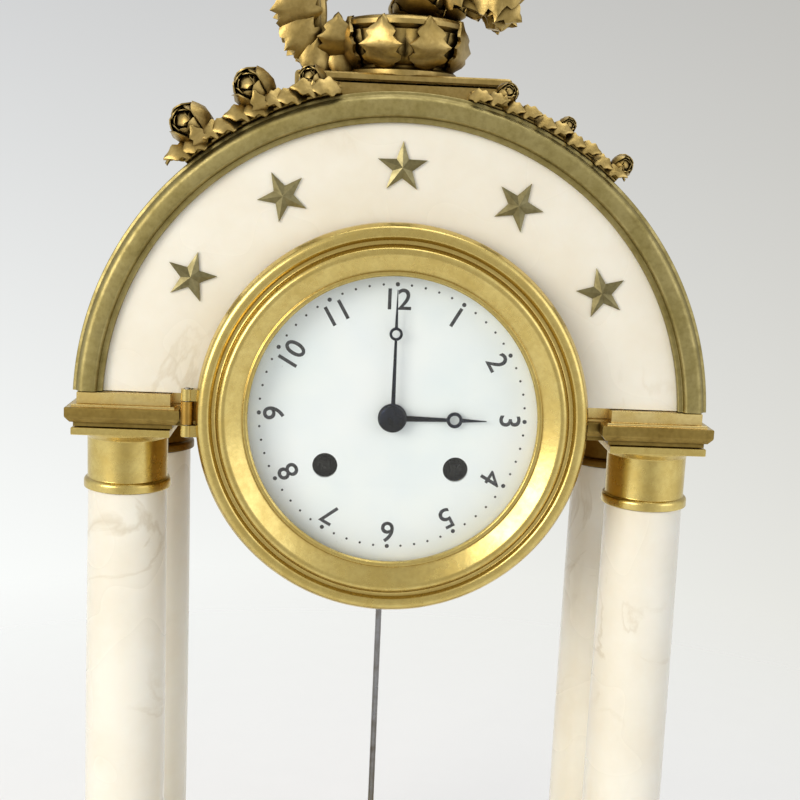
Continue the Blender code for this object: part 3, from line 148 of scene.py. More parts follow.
def eased(corners, steps=6, closed=False):
    """An outline with rounded corners, each given as (a, b) or (a, b, radius)."""
    points = []
    for i, corner in enumerate(corners):
        here = Vector(corner[:2])
        at_end = not closed and i in (0, len(corners) - 1)
        if len(corner) == 2 or at_end:
            points.append(tuple(here))
            continue
        back = (Vector(corners[i - 1][:2]) - here).normalized()
        ahead = (Vector(corners[(i + 1) % len(corners)][:2]) - here).normalized()
        half = back.angle(ahead) / 2
        centre = here + (back + ahead).normalized() * (corner[2] / math.sin(half))
        start = here + back * (corner[2] / math.tan(half)) - centre
        end = here + ahead * (corner[2] / math.tan(half)) - centre
        first = math.atan2(start.y, start.x)
        turn = (math.atan2(end.y, end.x) - first + math.pi) % math.tau - math.pi
        for k in range(steps + 1):
            t = first + turn * k / steps
            points.append((centre.x + corner[2] * math.cos(t), centre.y + corner[2] * math.sin(t)))
    return points


def wall(bm, low, high, closed=True):
    """Faces between two rows of vertices of the same count, which are closed rings or open."""
    for i in range(len(low) if closed else len(low) - 1):
        k = (i + 1) % len(low)
        bm.faces.new((low[i], low[k], high[k], high[i]))


def sheet(bm, rows, closed=False):
    """Faces between rows of points of the same count. Gives the rows as vertices."""
    made = [[bm.verts.new(point) for point in row] for row in rows]
    for low, high in zip(made, made[1:]):
        wall(bm, low, high, closed)
    return made


def skinned(bm, rings):
    """A solid through rings of points, all of the same count, with flat ends."""
    made = sheet(bm, rings, closed=True)
    bm.faces.new(made[0])
    bm.faces.new(made[-1])


def inset_plan(plan, depth):
    """An outline, listed anticlockwise, moved inwards by a depth."""
    moved = []
    for i, (x, y) in enumerate(plan):
        here = Vector((x, y))
        normals = []
        for a, b in ((Vector(plan[i - 1]), here), (here, Vector(plan[(i + 1) % len(plan)]))):
            way = (b - a).normalized()
            normals.append(Vector((-way.y, way.x)))
        shift = (normals[0] + normals[1]) * depth / (1.0 + normals[0].dot(normals[1]))
        moved.append(tuple(here + shift))
    return moved


def moulded(bm, plan, profile, base_z):
    """A solid whose sides follow a profile of (inset, height) all round a plan."""
    skinned(bm, [[(x, y, base_z + h) for x, y in inset_plan(plan, inset)] for inset, h in profile])


def rectangle(half_x, half_y, at=(0.0, 0.0)):
    """An anticlockwise rectangle about a point."""
    signs = ((1, 1), (-1, 1), (-1, -1), (1, -1))
    return [(at[0] + sx * half_x, at[1] + sy * half_y) for sx, sy in signs]


def as_mesh(bm, name):
    """A plain mesh of a closed shape, with its faces turned outwards."""
    bmesh.ops.recalc_face_normals(bm, faces=bm.faces)
    mesh = bpy.data.meshes.new(name)
    bm.to_mesh(mesh)
    bm.free()
    return mesh


def in_scene(name, data):
    """An object in the scene for a mesh, curve, lamp or camera."""
    made = bpy.data.objects.new(name, data)
    bpy.context.scene.collection.objects.link(made)
    return made


def finished(name, bm, surface, slot, nodes=(), body="case", sharp_deg=35.0):
    """A finished piece from a mesh in millimetres: it stands for CAD nodes and rides on a body."""
    mesh = as_mesh(bm, name)
    mesh.transform(Matrix.Scale(MM, 4))
    mesh.materials.clear()
    mesh.materials.append(surface)
    mesh.shade_smooth()
    mesh.set_sharp_from_angle(angle=math.radians(sharp_deg))
    piece = in_scene(name, mesh)
    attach(piece, body)
    if nodes:
        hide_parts(*nodes)
    return piece


plinth_low, plinth_high, _ = box_mm("base_plinth")
die_top = SLAB_H + DIE_H
top = plinth_high.z - plinth_low.z
plinth_profile = eased(
    [
        (0.0, 0.0), (0.0, SLAB_H - 4.5, 1.0), (2.6, SLAB_H - 4.5), (2.6, SLAB_H - 0.2, 3.2),
        (DIE_INSET, SLAB_H), (DIE_INSET, die_top - 1.0), (DIE_INSET - 1.4, die_top - 1.0),
        (DIE_INSET - 1.4, die_top + 2.4, 2.4), (TOP_INSET, die_top + 2.4), (TOP_INSET, top, 1.2),
        (TOP_INSET + TOP_LAND, top),
    ]
)
bm = bmesh.new()
moulded(bm, rectangle(plinth_high.x, plinth_high.y), plinth_profile, plinth_low.z)
plinth = finished("marble_plinth", bm, MARBLE, "marble", ["base_plinth"])
worn = plinth.modifiers.new("worn_edges", "BEVEL")
worn.width = WORN_EDGE * MM
worn.segments = 2
worn.limit_method = "ANGLE"
worn.angle_limit = math.radians(50)
worn.harden_normals = False

# Bead string and front mounts of the plinth
# Small gilt-bronze castings pinned to the marble: a string of beads round the die, and on its front a rosette
# between two laurel sprays. The photograph stops above them, so they follow clocks of this kind.
BEAD_R = 1.5
BEAD_STEP = 3.15
BERRY_R = 1.1
HOLLOW_REACH = 5.0
SPRAY_LEAVES = 9
SPRAY_STEP = 6.2
ROSETTE_R = 8.5
CORNER_ROSE_X = 95.0
FORWARD = Vector((0.0, -1.0, 0.0))


def gilt_bronze(name, gold, worn, hollow_tarnish_and_shade, rough, grit):
    """Fire-gilt cast bronze: gold thinned on high spots, brown tarnish and painted shade in the hollows.

    Grit is the size of the matting punch marks in millimetres, drawn coarser than real so that they show.
    """
    polish = (rough * 0.8, rough * 1.35)
    patches = {"Detail": 5.0, "Roughness": 0.62}
    base = in_patches(name, 9.0, (gold, worn), (0.38, 0.7), polish, (0.3, 0.75), **patches)
    made, tree, shader, place, _, gilding = base
    # Ambient occlusion marks the hollows, where the recess colour stands for tarnish and painted shade
    # together.
    near = {"Distance": HOLLOW_REACH * MM}
    hollow = add_node(tree, "ShaderNodeAmbientOcclusion", near, "AO", samples=6, only_local=True)
    unshaded_share = add_node(tree, "ShaderNodeMapRange", {"Value": hollow, "From Min": 0.35, "From Max": 0.95})
    speck = wander(tree, place, 1.6, (0.25, 0.6), (0.72, 1.0), Detail=4.0)
    gilt_unworn_and_unshaded = add_node(tree, "ShaderNodeMath", {0: unshaded_share, 1: speck}, operation="MULTIPLY")
    marks = add_node(tree, "ShaderNodeTexNoise", features(place, grit, Detail=2.0))
    bump = add_node(tree, "ShaderNodeBump", {"Height": marks, "Strength": 0.12, "Distance": 0.0003})
    toned = shaded(tree, gilt_unworn_and_unshaded, (0.0, 1.0), hollow_tarnish_and_shade, gilding)
    set_inputs(tree, shader, {"Base Color": toned, "Normal": bump, "Metallic": 1.0})
    return made


MATT_GILT = gilt_bronze("matted_fire_gilt_bronze", "#B9A166", "#9E874E", "#55411A", 0.36, 0.7)
BURNISHED_GILT = gilt_bronze("burnished_fire_gilt_bronze", "#D8C37A", "#C8B066", "#A88E50", 0.25, 2.4)


def node_group(name, **sockets):
    """A geometry tree with named inputs and one geometry out, and the sockets of those inputs."""
    tree = bpy.data.node_groups.new(name, "GeometryNodeTree")
    for label, kind in sockets.items():
        tree.interface.new_socket(label, in_out="INPUT", socket_type="NodeSocket" + kind)
    tree.interface.new_socket("Made", in_out="OUTPUT", socket_type="NodeSocketGeometry")
    return tree, add_node(tree, "NodeGroupInput", out=None)


def spread(tree, points, shape, surface, **how):
    """The end of each tree: copies of a shape on points, made real and smooth, with their material."""
    copies = add_node(tree, "GeometryNodeInstanceOnPoints", {"Points": points, "Instance": shape, **how})
    real = add_node(tree, "GeometryNodeRealizeInstances", {"Geometry": copies})
    smooth = add_node(tree, "GeometryNodeSetShadeSmooth", {0: real})
    dressed = add_node(tree, "GeometryNodeSetMaterial", {"Geometry": smooth, "Material": surface})
    add_node(tree, "NodeGroupOutput", {0: dressed}, None)


def plain_mesh(host):
    """The mesh of an object after its modifiers. The object itself is removed."""
    graph = bpy.context.evaluated_depsgraph_get()
    mesh = bpy.data.meshes.new_from_object(host.evaluated_get(graph))
    bpy.data.objects.remove(host)
    return mesh


def add_mesh(bm, mesh, place=Matrix()):
    """Adds a mesh that is needed no more, moved into place."""
    mesh.transform(place)
    bm.from_mesh(mesh)
    bpy.data.meshes.remove(mesh)


def add_grown(bm, data, tree, place=Matrix(), **values):
    """Adds what a tree makes from a mesh or curve with these input values."""
    host = in_scene("host", data)
    step = host.modifiers.new("grow", "NODES")
    step.node_group = tree
    for item in tree.interface.items_tree:
        if item.in_out == "INPUT" and item.name in values:
            step[item.identifier] = values[item.name]
    add_mesh(bm, plain_mesh(host), place)


# Beads at an even step along a wire
BEADS, given = node_group("beads_on_wire", Wire="Geometry", Radius="Float", Step="Float", Metal="Material")
path = {"Curve": given["Wire"], "Length": given["Step"]}
spots = add_node(BEADS, "GeometryNodeResampleCurve", path, mode="LENGTH")
bead = add_node(BEADS, "GeometryNodeMeshUVSphere", {"Radius": given["Radius"], "Segments": 8, "Rings": 5})
spread(BEADS, spots, bead, given["Metal"])

# Petals round a bud at the angle by which real ones follow each other, each lower and wider
PETAL_TURN = math.radians(137.5)
PETALS, given = node_group("petals_on_bud", Petal="Geometry", Petals="Int", Rise="Float", Metal="Material")
number = add_node(PETALS, "GeometryNodeInputIndex")
share = add_node(PETALS, "ShaderNodeMath", {0: number, 1: given["Petals"]}, operation="DIVIDE")
height = add_node(PETALS, "ShaderNodeMapRange", {"Value": share, "To Min": given["Rise"], "To Max": 0.0})
above = add_node(PETALS, "ShaderNodeCombineXYZ", {"Z": height})
spots = add_node(PETALS, "GeometryNodePoints", {"Count": given["Petals"], "Position": above})
spin = add_node(PETALS, "ShaderNodeMath", {0: number, 1: PETAL_TURN}, operation="MULTIPLY")
turn = add_node(PETALS, "ShaderNodeCombineXYZ", {"Z": spin})
size = add_node(PETALS, "ShaderNodeMapRange", {"Value": share, "To Min": 0.42, "To Max": 1.05})
spread(PETALS, spots, given["Petal"], given["Metal"], Rotation=turn, Scale=size)


def frame_at(at, along, up):
    """A place whose x runs along one direction and whose z leans towards another."""
    x = Vector(along).normalized()
    y = Vector(up).cross(x).normalized()
    turn = Matrix((x, y, x.cross(y))).transposed().to_4x4()
    return Matrix.Translation(Vector(at)) @ turn


def leaf_mesh(length, width, arch, lobes=0, thick=0.7):
    """A cast leaf along x that faces z: a folded midrib, an arched back, and lobed edges if asked."""
    bm = bmesh.new()
    along, across = 14, 6
    rims = []
    for side in (1.0, -1.0):
        rows = []
        for i in range(along + 1):
            t = i / along
            half = width / 2 * math.sin(math.pi * t**0.75) ** 0.8 if 0 < t < 1 else 0.02
            half *= 1.0 + 0.22 * math.cos(math.tau * lobes * t) if lobes else 1.0
            row = []
            for s in (2.0 * k / across - 1.0 for k in range(across + 1)):
                rise = arch * math.sin(math.pi * t) + 0.22 * half * (abs(s) - 0.7 * s * s)
                row.append((length * t, half * s, rise + side * thick / 2 * (1.0 - 0.6 * abs(s))))
            rows.append(row)
        rows = sheet(bm, rows)
        rims.append(rows[0] + [r[-1] for r in rows[1:]] + rows[-1][-2::-1] + [r[0] for r in rows[-2:0:-1]])
    wall(bm, rims[1], rims[0])
    return as_mesh(bm, "leaf")


def petal_mesh(radius):
    """One petal that hugs a ball about the origin, with its lip turned out at the top."""
    rows = []
    for v in (i / 4 for i in range(5)):
        half = math.radians(58.0) * math.sin(math.pi * (0.14 + 0.66 * v)) ** 0.6
        row = []
        for u in (k / 2 - 1.0 for k in range(5)):
            down = math.radians(150.0 - 112.0 * v * (1.0 - 0.2 * u * u))
            r = radius * (0.88 + 0.12 * v**3 - 0.04 * u * u)
            flat = r * math.sin(down)
            row.append((flat * math.sin(half * u), -flat * math.cos(half * u), r * math.cos(down)))
        rows.append(row)
    bm = bmesh.new()
    sheet(bm, rows)
    bmesh.ops.recalc_face_normals(bm, faces=bm.faces)
    bmesh.ops.solidify(bm, geom=bm.faces[:], thickness=0.06 * radius)
    return as_mesh(bm, "petal")


def add_rose(bm, at, facing, radius, petals=12):
    """Adds a cast rose, as round as a ball, that looks in a direction."""
    at = Matrix.Translation(Vector(at))
    turn = Vector(facing).to_track_quat("Z", "Y").to_matrix().to_4x4()
    values = {"Petals": petals, "Rise": radius * 0.42, "Metal": MATT_GILT}
    add_grown(bm, petal_mesh(radius), PETALS, at @ turn, **values)
    bmesh.ops.create_icosphere(bm, subdivisions=2, radius=radius * 0.72, matrix=at)


die_x = plinth_high.x - DIE_INSET
die_y = plinth_high.y - DIE_INSET
die_z = plinth_low.z + SLAB_H
string = bpy.data.curves.new("string", "CURVE")
string.dimensions = "3D"
spline = string.splines.new("POLY")
spline.points.add(3)
for spot, (x, y) in zip(spline.points, rectangle(die_x + BEAD_R * 0.7, die_y + BEAD_R * 0.7)):
    spot.co = (x, y, die_z + BEAD_R, 1.0)
spline.use_cyclic_u = True
bm = bmesh.new()
add_grown(bm, string, BEADS, Radius=BEAD_R, Step=BEAD_STEP, Metal=MATT_GILT)
finished("plinth_bead_string", bm, MATT_GILT, "gilt_bronze")

bm = bmesh.new()
mount_y = -die_y - 0.4
mount_z = die_z + DIE_H / 2 + 1.0
add_rose(bm, (0.0, mount_y, mount_z), FORWARD, ROSETTE_R * 0.9)
laurel = leaf_mesh(length=9.0, width=4.2, arch=0.9)
for side in (-1.0, 1.0):
    for i in range(SPRAY_LEAVES):
        stem_x = side * (ROSETTE_R + SPRAY_STEP * (i + 0.4))
        for lift in (-0.55, 0.55):
            add_mesh(bm, laurel.copy(), frame_at((stem_x, mount_y, mount_z), (side, -0.12, lift), FORWARD))
        berry = Matrix.Translation((stem_x + side * 2.0, mount_y - 0.8, mount_z))
        bmesh.ops.create_icosphere(bm, subdivisions=2, radius=BERRY_R, matrix=berry)
    add_rose(bm, (side * CORNER_ROSE_X, mount_y, mount_z), FORWARD, ROSETTE_R * 0.7)
finished("plinth_front_mount", bm, MATT_GILT, "gilt_bronze")

# Feet
# Four turned and gilt bronze bun feet, guessed like the plinth's mounts. Each is the nut on its column's tie
# rod, screwed up against the plinth from below.
CORNERS = ("front_left", "front_right", "back_left", "back_right")
TURNED_SIDES = 64
ROD_BORE = 2.9


def lathe(bm, profile, sides, at, axis="Z", lobes=0):
    """Adds a form turned about an axis, from (radius, height) or (radius, height, lobe depth)."""
    rings = []
    for point in profile:
        r, h = point[:2]
        depth = point[2] if len(point) > 2 else 0.0
        ring = []
        for i in range(sides if r > 1e-6 else 1):
            t = math.tau * i / sides
            reach = r - depth * (1.0 - abs(math.cos(lobes * t / 2))) if lobes else r
            u, v = reach * math.cos(t), reach * math.sin(t)
            ring.append(bm.verts.new(Vector(at) + Vector((u, v, h) if axis == "Z" else (u, h, v))))
        rings.append(ring)
    pairs = list(zip(rings, rings[1:]))
    if len(rings[0]) > 1 and len(rings[-1]) > 1:
        pairs.append((rings[-1], rings[0]))
    for low, high in pairs:
        if len(low) > 1 and len(high) > 1:
            wall(bm, low, high)
        elif len(low) + len(high) > 2:
            pole, ring = (low[0], high) if len(low) == 1 else (high[0], low)
            for i in range(sides):
                bm.faces.new((pole, ring[i], ring[(i + 1) % sides]))


def turned_piece(name, profile, sides, at, axis, *finish):
    """A finished piece that is turned from one profile."""
    bm = bmesh.new()
    lathe(bm, profile, sides, at, axis)
    return finished(name, bm, *finish)


for corner in CORNERS:
    low, high, middle = box_mm("foot_" + corner)
    r, tall = (high.x - low.x) / 2, high.z
    foot = [
        (0.0, 0.0), (r * 0.5, 0.0, 0.6), (r * 0.62, tall * 0.12, 1.0), (r, tall * 0.24, 3.4),
        (r, tall * 0.6, 3.0), (r * 0.6, tall * 0.68, 1.0), (r * 0.66, tall * 0.78, 0.6),
        (r, tall * 0.8, 0.9), (r, tall, 0.7), (ROD_BORE, tall), (ROD_BORE, tall * 0.5),
        (0.0, tall * 0.5),
    ]
    finish = (BURNISHED_GILT, "gilt_bronze", ["foot_" + corner])
    turned_piece("gilt_foot_" + corner, eased(foot), TURNED_SIDES, (middle.x, middle.y, 0.0), "Z", *finish)

# Columns
# Four turned and polished marble shafts with a slight swelling, each between a gilt base and a plain gilt
# capital. A column's iron tie rod is screwed into its capital, and the back capitals have painted shade.
SHADED_BACK_GILT = gilt_bronze("painted_shade_back_gilt", "#7C612C", "#644C20", "#33230A", 0.34, 2.4)
SEAT = 0.3
SWELL = 0.25
TAPER = 0.6
BASE_SQUARE_H = 5.2
ABACUS_H = 2.7
ROD_R = 2.4
LAND = 6.0
SHAFT_STEPS = 16

for corner in CORNERS:
    low, high, middle = box_mm("column_base_" + corner)
    half, tall = (high.x - low.x) / 2, high.z - low.z
    shaft_low, shaft_high, _ = box_mm("column_shaft_" + corner)
    r = (shaft_high.x - shaft_low.x) / 2
    square = [(0.8, 0.0), (0.0, 0.0, 0.5), (0.0, BASE_SQUARE_H, 0.5), (LAND, BASE_SQUARE_H)]
    rounds = [
        (ROD_BORE, BASE_SQUARE_H - 0.2), (half - 0.4, BASE_SQUARE_H - 0.2, 0.2),
        (half - 0.4, tall * 0.62, 2.2), (r + 1.0, tall * 0.62, 0.3), (r + 0.5, tall * 0.78, 1.0),
        (r + 2.0, tall * 0.8, 0.4), (r + 2.0, tall, 1.3), (ROD_BORE, tall),
    ]
    bm = bmesh.new()
    moulded(bm, rectangle(half, half, middle), eased(square), low.z)
    lathe(bm, eased(rounds), TURNED_SIDES, (middle.x, middle.y, low.z))
    finished("gilt_column_base_" + corner, bm, MATT_GILT, "gilt_bronze", ["column_base_" + corner])

    tall = shaft_high.z - shaft_low.z
    shaft = [(ROD_BORE, 0.0)]
    for k in (i / SHAFT_STEPS for i in range(SHAFT_STEPS + 1)):
        shaft.append((r - TAPER * k + SWELL * math.sin(math.pi * k), tall * k))
    shaft.append((ROD_BORE, tall))
    finish = (MARBLE, "marble", ["column_shaft_" + corner])
    at = (middle.x, middle.y, shaft_low.z)
    turned_piece("marble_shaft_" + corner, shaft, TURNED_SIDES, at, "Z", *finish)

    low, high, _ = box_mm("capital_" + corner)
    r -= TAPER
    base_z = shaft_high.z + SEAT
    rod_end = low.z - base_z
    half, tall = (high.x - low.x) / 2, high.z - base_z
    neck = tall - ABACUS_H
    rounds = [
        (0.0, rod_end), (ROD_R, rod_end), (ROD_R, 0.0), (r + 0.2, 0.0), (r + 1.5, 0.2, 0.3),
        (r + 1.5, 3.4, 1.4), (r + 0.2, 3.8, 0.4), (r + 0.3, tall * 0.78, 0.8),
        (half - 0.4, neck - 0.2, 2.0), (half - 0.4, neck + 0.2), (0.0, neck + 0.2),
    ]
    abacus = [(1.0, 0.0), (0.0, 0.0, 0.4), (0.0, ABACUS_H, 0.4), (LAND, ABACUS_H)]
    bm = bmesh.new()
    lathe(bm, eased(rounds), TURNED_SIDES, (middle.x, middle.y, base_z))
    moulded(bm, rectangle(half, half, middle), eased(abacus), high.z - ABACUS_H)
    # The back capitals' darker gilt is painted shade, for the shade that falls on them under the arch.
    gilding = BURNISHED_GILT if corner.startswith("front") else SHADED_BACK_GILT
    finished("gilt_capital_" + corner, bm, gilding, "gilt_bronze", ["capital_" + corner])

# Entablature
# Two cast and gilt plates, left and right, lying across the front and back capitals. Their inner ends are cut
# to hug the drum, and the marble arch stands on their burnished fillets, given a painted highlight, above a
# cornice in painted shade.
SHADED_CORNICE_GILT = gilt_bronze("painted_shade_cornice_gilt", "#A1894B", "#887139", "#3E2E10", 0.34, 0.8)
LIT_FILLET_GILT = gilt_bronze("painted_highlight_fillet_gilt", "#F2DC98", "#E0C67C", "#B8985A", 0.24, 2.4)
CORNICE_H = 7.0
FILLET_H = 5.0
STEP_X = 74.0
DRUM_R = 60.0
INNER_INSET = 7.1

fillet_top = CORNICE_H + FILLET_H
cornice = [
    (3.0, 0.0), (2.6, 0.0, 0.1), (2.6, 1.4, 0.2), (1.6, 1.6, 0.2), (0.0, 3.6, 1.4),
    (0.0, CORNICE_H, 0.5), (2.0, CORNICE_H, 0.3), (2.0, CORNICE_H + 0.8, 0.3),
    (3.6, CORNICE_H + 1.0, 0.2), (3.6, fillet_top, 0.4), (3.9, fillet_top),
]
for side in ("left", "right"):
    low, high, _ = box_mm("entablature_" + side)
    far_x = max(abs(low.x), abs(high.x))
    wide, narrow = high.y, high.y - INNER_INSET
    half_plan = [(far_x, wide), (STEP_X, wide), (STEP_X, narrow), (DRUM_R + SEAT, narrow)]
    plan = half_plan + [(x, -y) for x, y in reversed(half_plan)]
    if side == "left":
        plan = [(-x, y) for x, y in reversed(plan)]
    bm = bmesh.new()
    moulded(bm, plan, eased(cornice), low.z)
    plate = finished("gilt_entablature_" + side, bm, SHADED_CORNICE_GILT, "gilt_bronze", ["entablature_" + side])
    # Split by height: the cornice takes the painted-shade gilt, the fillets above it the painted-highlight
    # gilt.
    plate.data.materials.append(LIT_FILLET_GILT)
    for face in plate.data.polygons:
        face.material_index = int(face.center.z > (low.z + CORNICE_H) * MM)

# Arch
# A half ring of white marble that covers the top of the drum and stands on the entablature. A gilt moulding
# is bent round its front edge, and five cast stars are pinned to its face.
# A duller, greyer and rougher gilt than the other mounts, for the arch's rim.
DULL_RIM_GILT = gilt_bronze("dull_grey_rim_gilt", "#A69966", "#8C804E", "#554519", 0.45, 0.8)
# The stars' dark, greyish gilt is painted shade.
SHADED_STAR_GILT = gilt_bronze("painted_shade_star_gilt", "#8C8460", "#746B49", "#332C14", 0.42, 0.8)
ARCH_STEPS = 120
RIM_LIP = 1.5
STARS = 5
STAR_POINTS = 5
STAR_R = 9.0
STAR_NOTCH = 0.4
STAR_EDGE = 0.5
dial_low, dial_high, dial_middle = box_mm("dial")
DIAL_Z = dial_middle.z


def over_arch(bm, profile, rise):
    """Adds a closed profile of (radius, y) bent over the dial, with flat ends a rise above its centre."""
    rings = []
    for i in range(ARCH_STEPS + 1):
        ring = []
        for r, y in profile:
            start = math.asin(rise / r)
            t = start + (math.pi - 2 * start) * i / ARCH_STEPS
            ring.append((r * math.cos(t), y, DIAL_Z + r * math.sin(t)))
        rings.append(ring)
    skinned(bm, rings)


low, high, _ = box_mm("arch_block")
arch_r = high.x
arch_rise = low.z - DIAL_Z
arch_front = low.y - SEAT
hollow_r = DRUM_R + SEAT
section = [(hollow_r, low.y, 0.5), (arch_r, low.y, 0.5), (arch_r, high.y, 0.8), (hollow_r, high.y, 0.5)]
bm = bmesh.new()
over_arch(bm, eased(section, 3, closed=True), arch_rise)
finished("marble_arch", bm, MARBLE, "marble", ["arch_block"])

rim_low, rim_high, rim_middle = box_mm("arch_rim")
rim_out, rim_in = rim_high.x, arch_r - RIM_LIP
front, back = rim_low.y, rim_high.y
section = [
    (rim_in, arch_front), (rim_in, front + 1.8, 0.4), (rim_in + 1.7, front + 1.8, 0.3),
    (rim_in + 2.3, front, 1.4), (rim_out - 2.6, front, 2.4), (rim_out - 1.2, front + 2.6, 0.6),
    (rim_out, front + 3.0, 0.5), (rim_out, back, 1.2), (arch_r + SEAT, back),
    (arch_r + SEAT, arch_front),
]
bm = bmesh.new()
over_arch(bm, eased(section, 5, closed=True), arch_rise)
finished("gilt_arch_rim", bm, DULL_RIM_GILT, "gilt_bronze", ["arch_rim"])

for number in range(1, STARS + 1):
    low, high, middle = box_mm(f"arch_star_{number}")
    facing = math.atan2(middle.z - DIAL_Z, middle.x)
    outline = []
    for i in range(2 * STAR_POINTS):
        r = STAR_R * STAR_NOTCH if i % 2 else STAR_R
        t = facing + math.pi * i / STAR_POINTS
        outline.append((middle.x + r * math.cos(t), middle.z + r * math.sin(t)))
    bm = bmesh.new()
    base = [bm.verts.new((x, high.y, z)) for x, z in outline]
    edge = [bm.verts.new((x, high.y - STAR_EDGE, z)) for x, z in outline]
    peak = bm.verts.new((middle.x, low.y, middle.z))
    wall(bm, base, edge)
    bm.faces.new(base)
    for i, tip in enumerate(edge):
        bm.faces.new((edge[i - 1], tip, peak))
    finished(f"gilt_star_{number}", bm, SHADED_STAR_GILT, "gilt_bronze", [f"arch_star_{number}"], sharp_deg=12)

# Crest urn
# One chased gilt-bronze casting: a saddle shaped to the arch, a fluted urn in a cup of leaves and full of
# roses, a leafy arm that scrolls up on the left, and a leaf that droops on the right.
FLUTES = 14
CUP_LEAVES = 8
FULL_ROSE = 15
ACANTHUS_L = 17.0
ARM_DEPTH = 0.85
SADDLE_H = 16.0
SADDLE_DEG = 22.0
SADDLE_STEPS = 24
SADDLE_FRONT, SADDLE_BACK = -28.0, 12.0
SADDLE_ROUND = 1.5
URN_R = 22.0
URN_H = 20.0
URN_Y = -8.0
crest_r = arch_r + SEAT
saddle_top = DIAL_Z + crest_r + SADDLE_H


def curve_through(points, steps):
    """A smooth line through points, each with any number of values."""
    ends = [points[0], *points, points[-1]]
    line = []
    for a, b, c, d in zip(ends, ends[1:], ends[2:], ends[3:]):
        for t in (k / steps for k in range(steps)):
            weights = (
                -0.5 * t + t * t - 0.5 * t**3,
                1.0 - 2.5 * t * t + 1.5 * t**3,
                0.5 * t + 2.0 * t * t - 1.5 * t**3,
                -0.5 * t * t + 0.5 * t**3,
            )
            line.append(tuple(sum(w * p[i] for w, p in zip(weights, (a, b, c, d))) for i in range(len(b))))
    return line + [tuple(points[-1])]


def flat_bar(bm, line, y, deep, sides, ribs, rib_depth=0.16):
    """Adds a bar, ribbed lengthwise, along points of (x, z, half width) at a constant y."""
    rings = []
    for i, (x, z, half) in enumerate(line):
        before, after = line[max(i - 1, 0)], line[min(i + 1, len(line) - 1)]
        way = Vector((after[0] - before[0], after[1] - before[1])).normalized()
        ring = []
        for t in (math.tau * k / sides for k in range(sides)):
            reach = half * (1.0 - rib_depth * (1.0 - abs(math.cos(ribs * t / 2))))
            out = reach * math.cos(t)
            ring.append((x - way.y * out, y + deep * reach * math.sin(t), z + way.x * out))
        rings.append(ring)
    skinned(bm, rings)


def leaves_along(bm, line, y, deep, leaf, every, fit):
    """Adds leaves along both faces of a bar, a little wider than it, so that their lobes show."""
    for i in range(every // 2, len(line) - every // 2, every):
        x, z, half = line[i]
        before, after = line[max(i - 1, 0)], line[i + 1]
        way = Vector((after[0] - before[0], 0.0, after[1] - before[1])).normalized()
        left_over = sum(math.dist(p[:2], q[:2]) for p, q in zip(line[i:], line[i + 1 :]))
        size = Matrix.Scale(min(half * fit, left_over * 1.25 / ACANTHUS_L), 4)
        for face in (FORWARD, -FORWARD):
            place = frame_at(Vector((x, y, z)) + face * half * deep * 0.7, way + face * 0.16, face)
            add_mesh(bm, leaf.copy(), place @ size)


def on_crest(a, b, y=URN_Y):
    """A point of the crest, in urn radii from the foot of the urn."""
    return Vector((a * URN_R, y, saddle_top + b * URN_R))


under = []
for i in range(SADDLE_STEPS + 1):
    t = math.radians(90.0 + SADDLE_DEG - 2 * SADDLE_DEG * i / SADDLE_STEPS)
    under.append((crest_r * math.cos(t), DIAL_Z + crest_r * math.sin(t)))
reach = crest_r * math.sin(math.radians(SADDLE_DEG))
corners = [under[-1], (reach, saddle_top, SADDLE_ROUND), (-reach, saddle_top, SADDLE_ROUND), under[0]]
outline = under + eased(corners, 4)[1:-1]
# The sunk panel of its front and back, as depths and insets
panel = ((1.0, 3.6), (1.0, 3.0), (0.0, 2.2), (0.0, 0.6), (0.7, 0.0))
faces = [(SADDLE_FRONT + deep, inset) for deep, inset in panel]
faces += [(SADDLE_BACK - deep, inset) for deep, inset in reversed(panel)]
bm = bmesh.new()
skinned(bm, [[(x, y, z) for x, z in inset_plan(outline, inset)] for y, inset in faces])

# The urn's profile as radius, height and flute depth, in shares of its radius and height
urn = (
    (0.0, -0.02, 0.0), (0.9, -0.02, 0.0), (0.9, 0.08, 0.0), (0.86, 0.11, 0.0), (0.79, 0.13, 0.0),
    (0.78, 0.17, 0.0), (0.84, 0.21, 0.03), (0.91, 0.32, 0.075), (0.96, 0.5, 0.08), (0.985, 0.66, 0.075),
    (0.97, 0.78, 0.03), (0.93, 0.8, 0.0), (0.96, 0.82, 0.0), (1.0, 0.87, 0.0), (1.0, 0.95, 0.0),
    (0.96, 1.0, 0.0), (0.8, 1.04, 0.0), (0.0, 1.15, 0.0),
)
profile = [(r * URN_R, h * URN_H, d * URN_R) for r, h, d in urn]
lathe(bm, profile, 10 * FLUTES, (0.0, URN_Y, saddle_top), lobes=FLUTES)

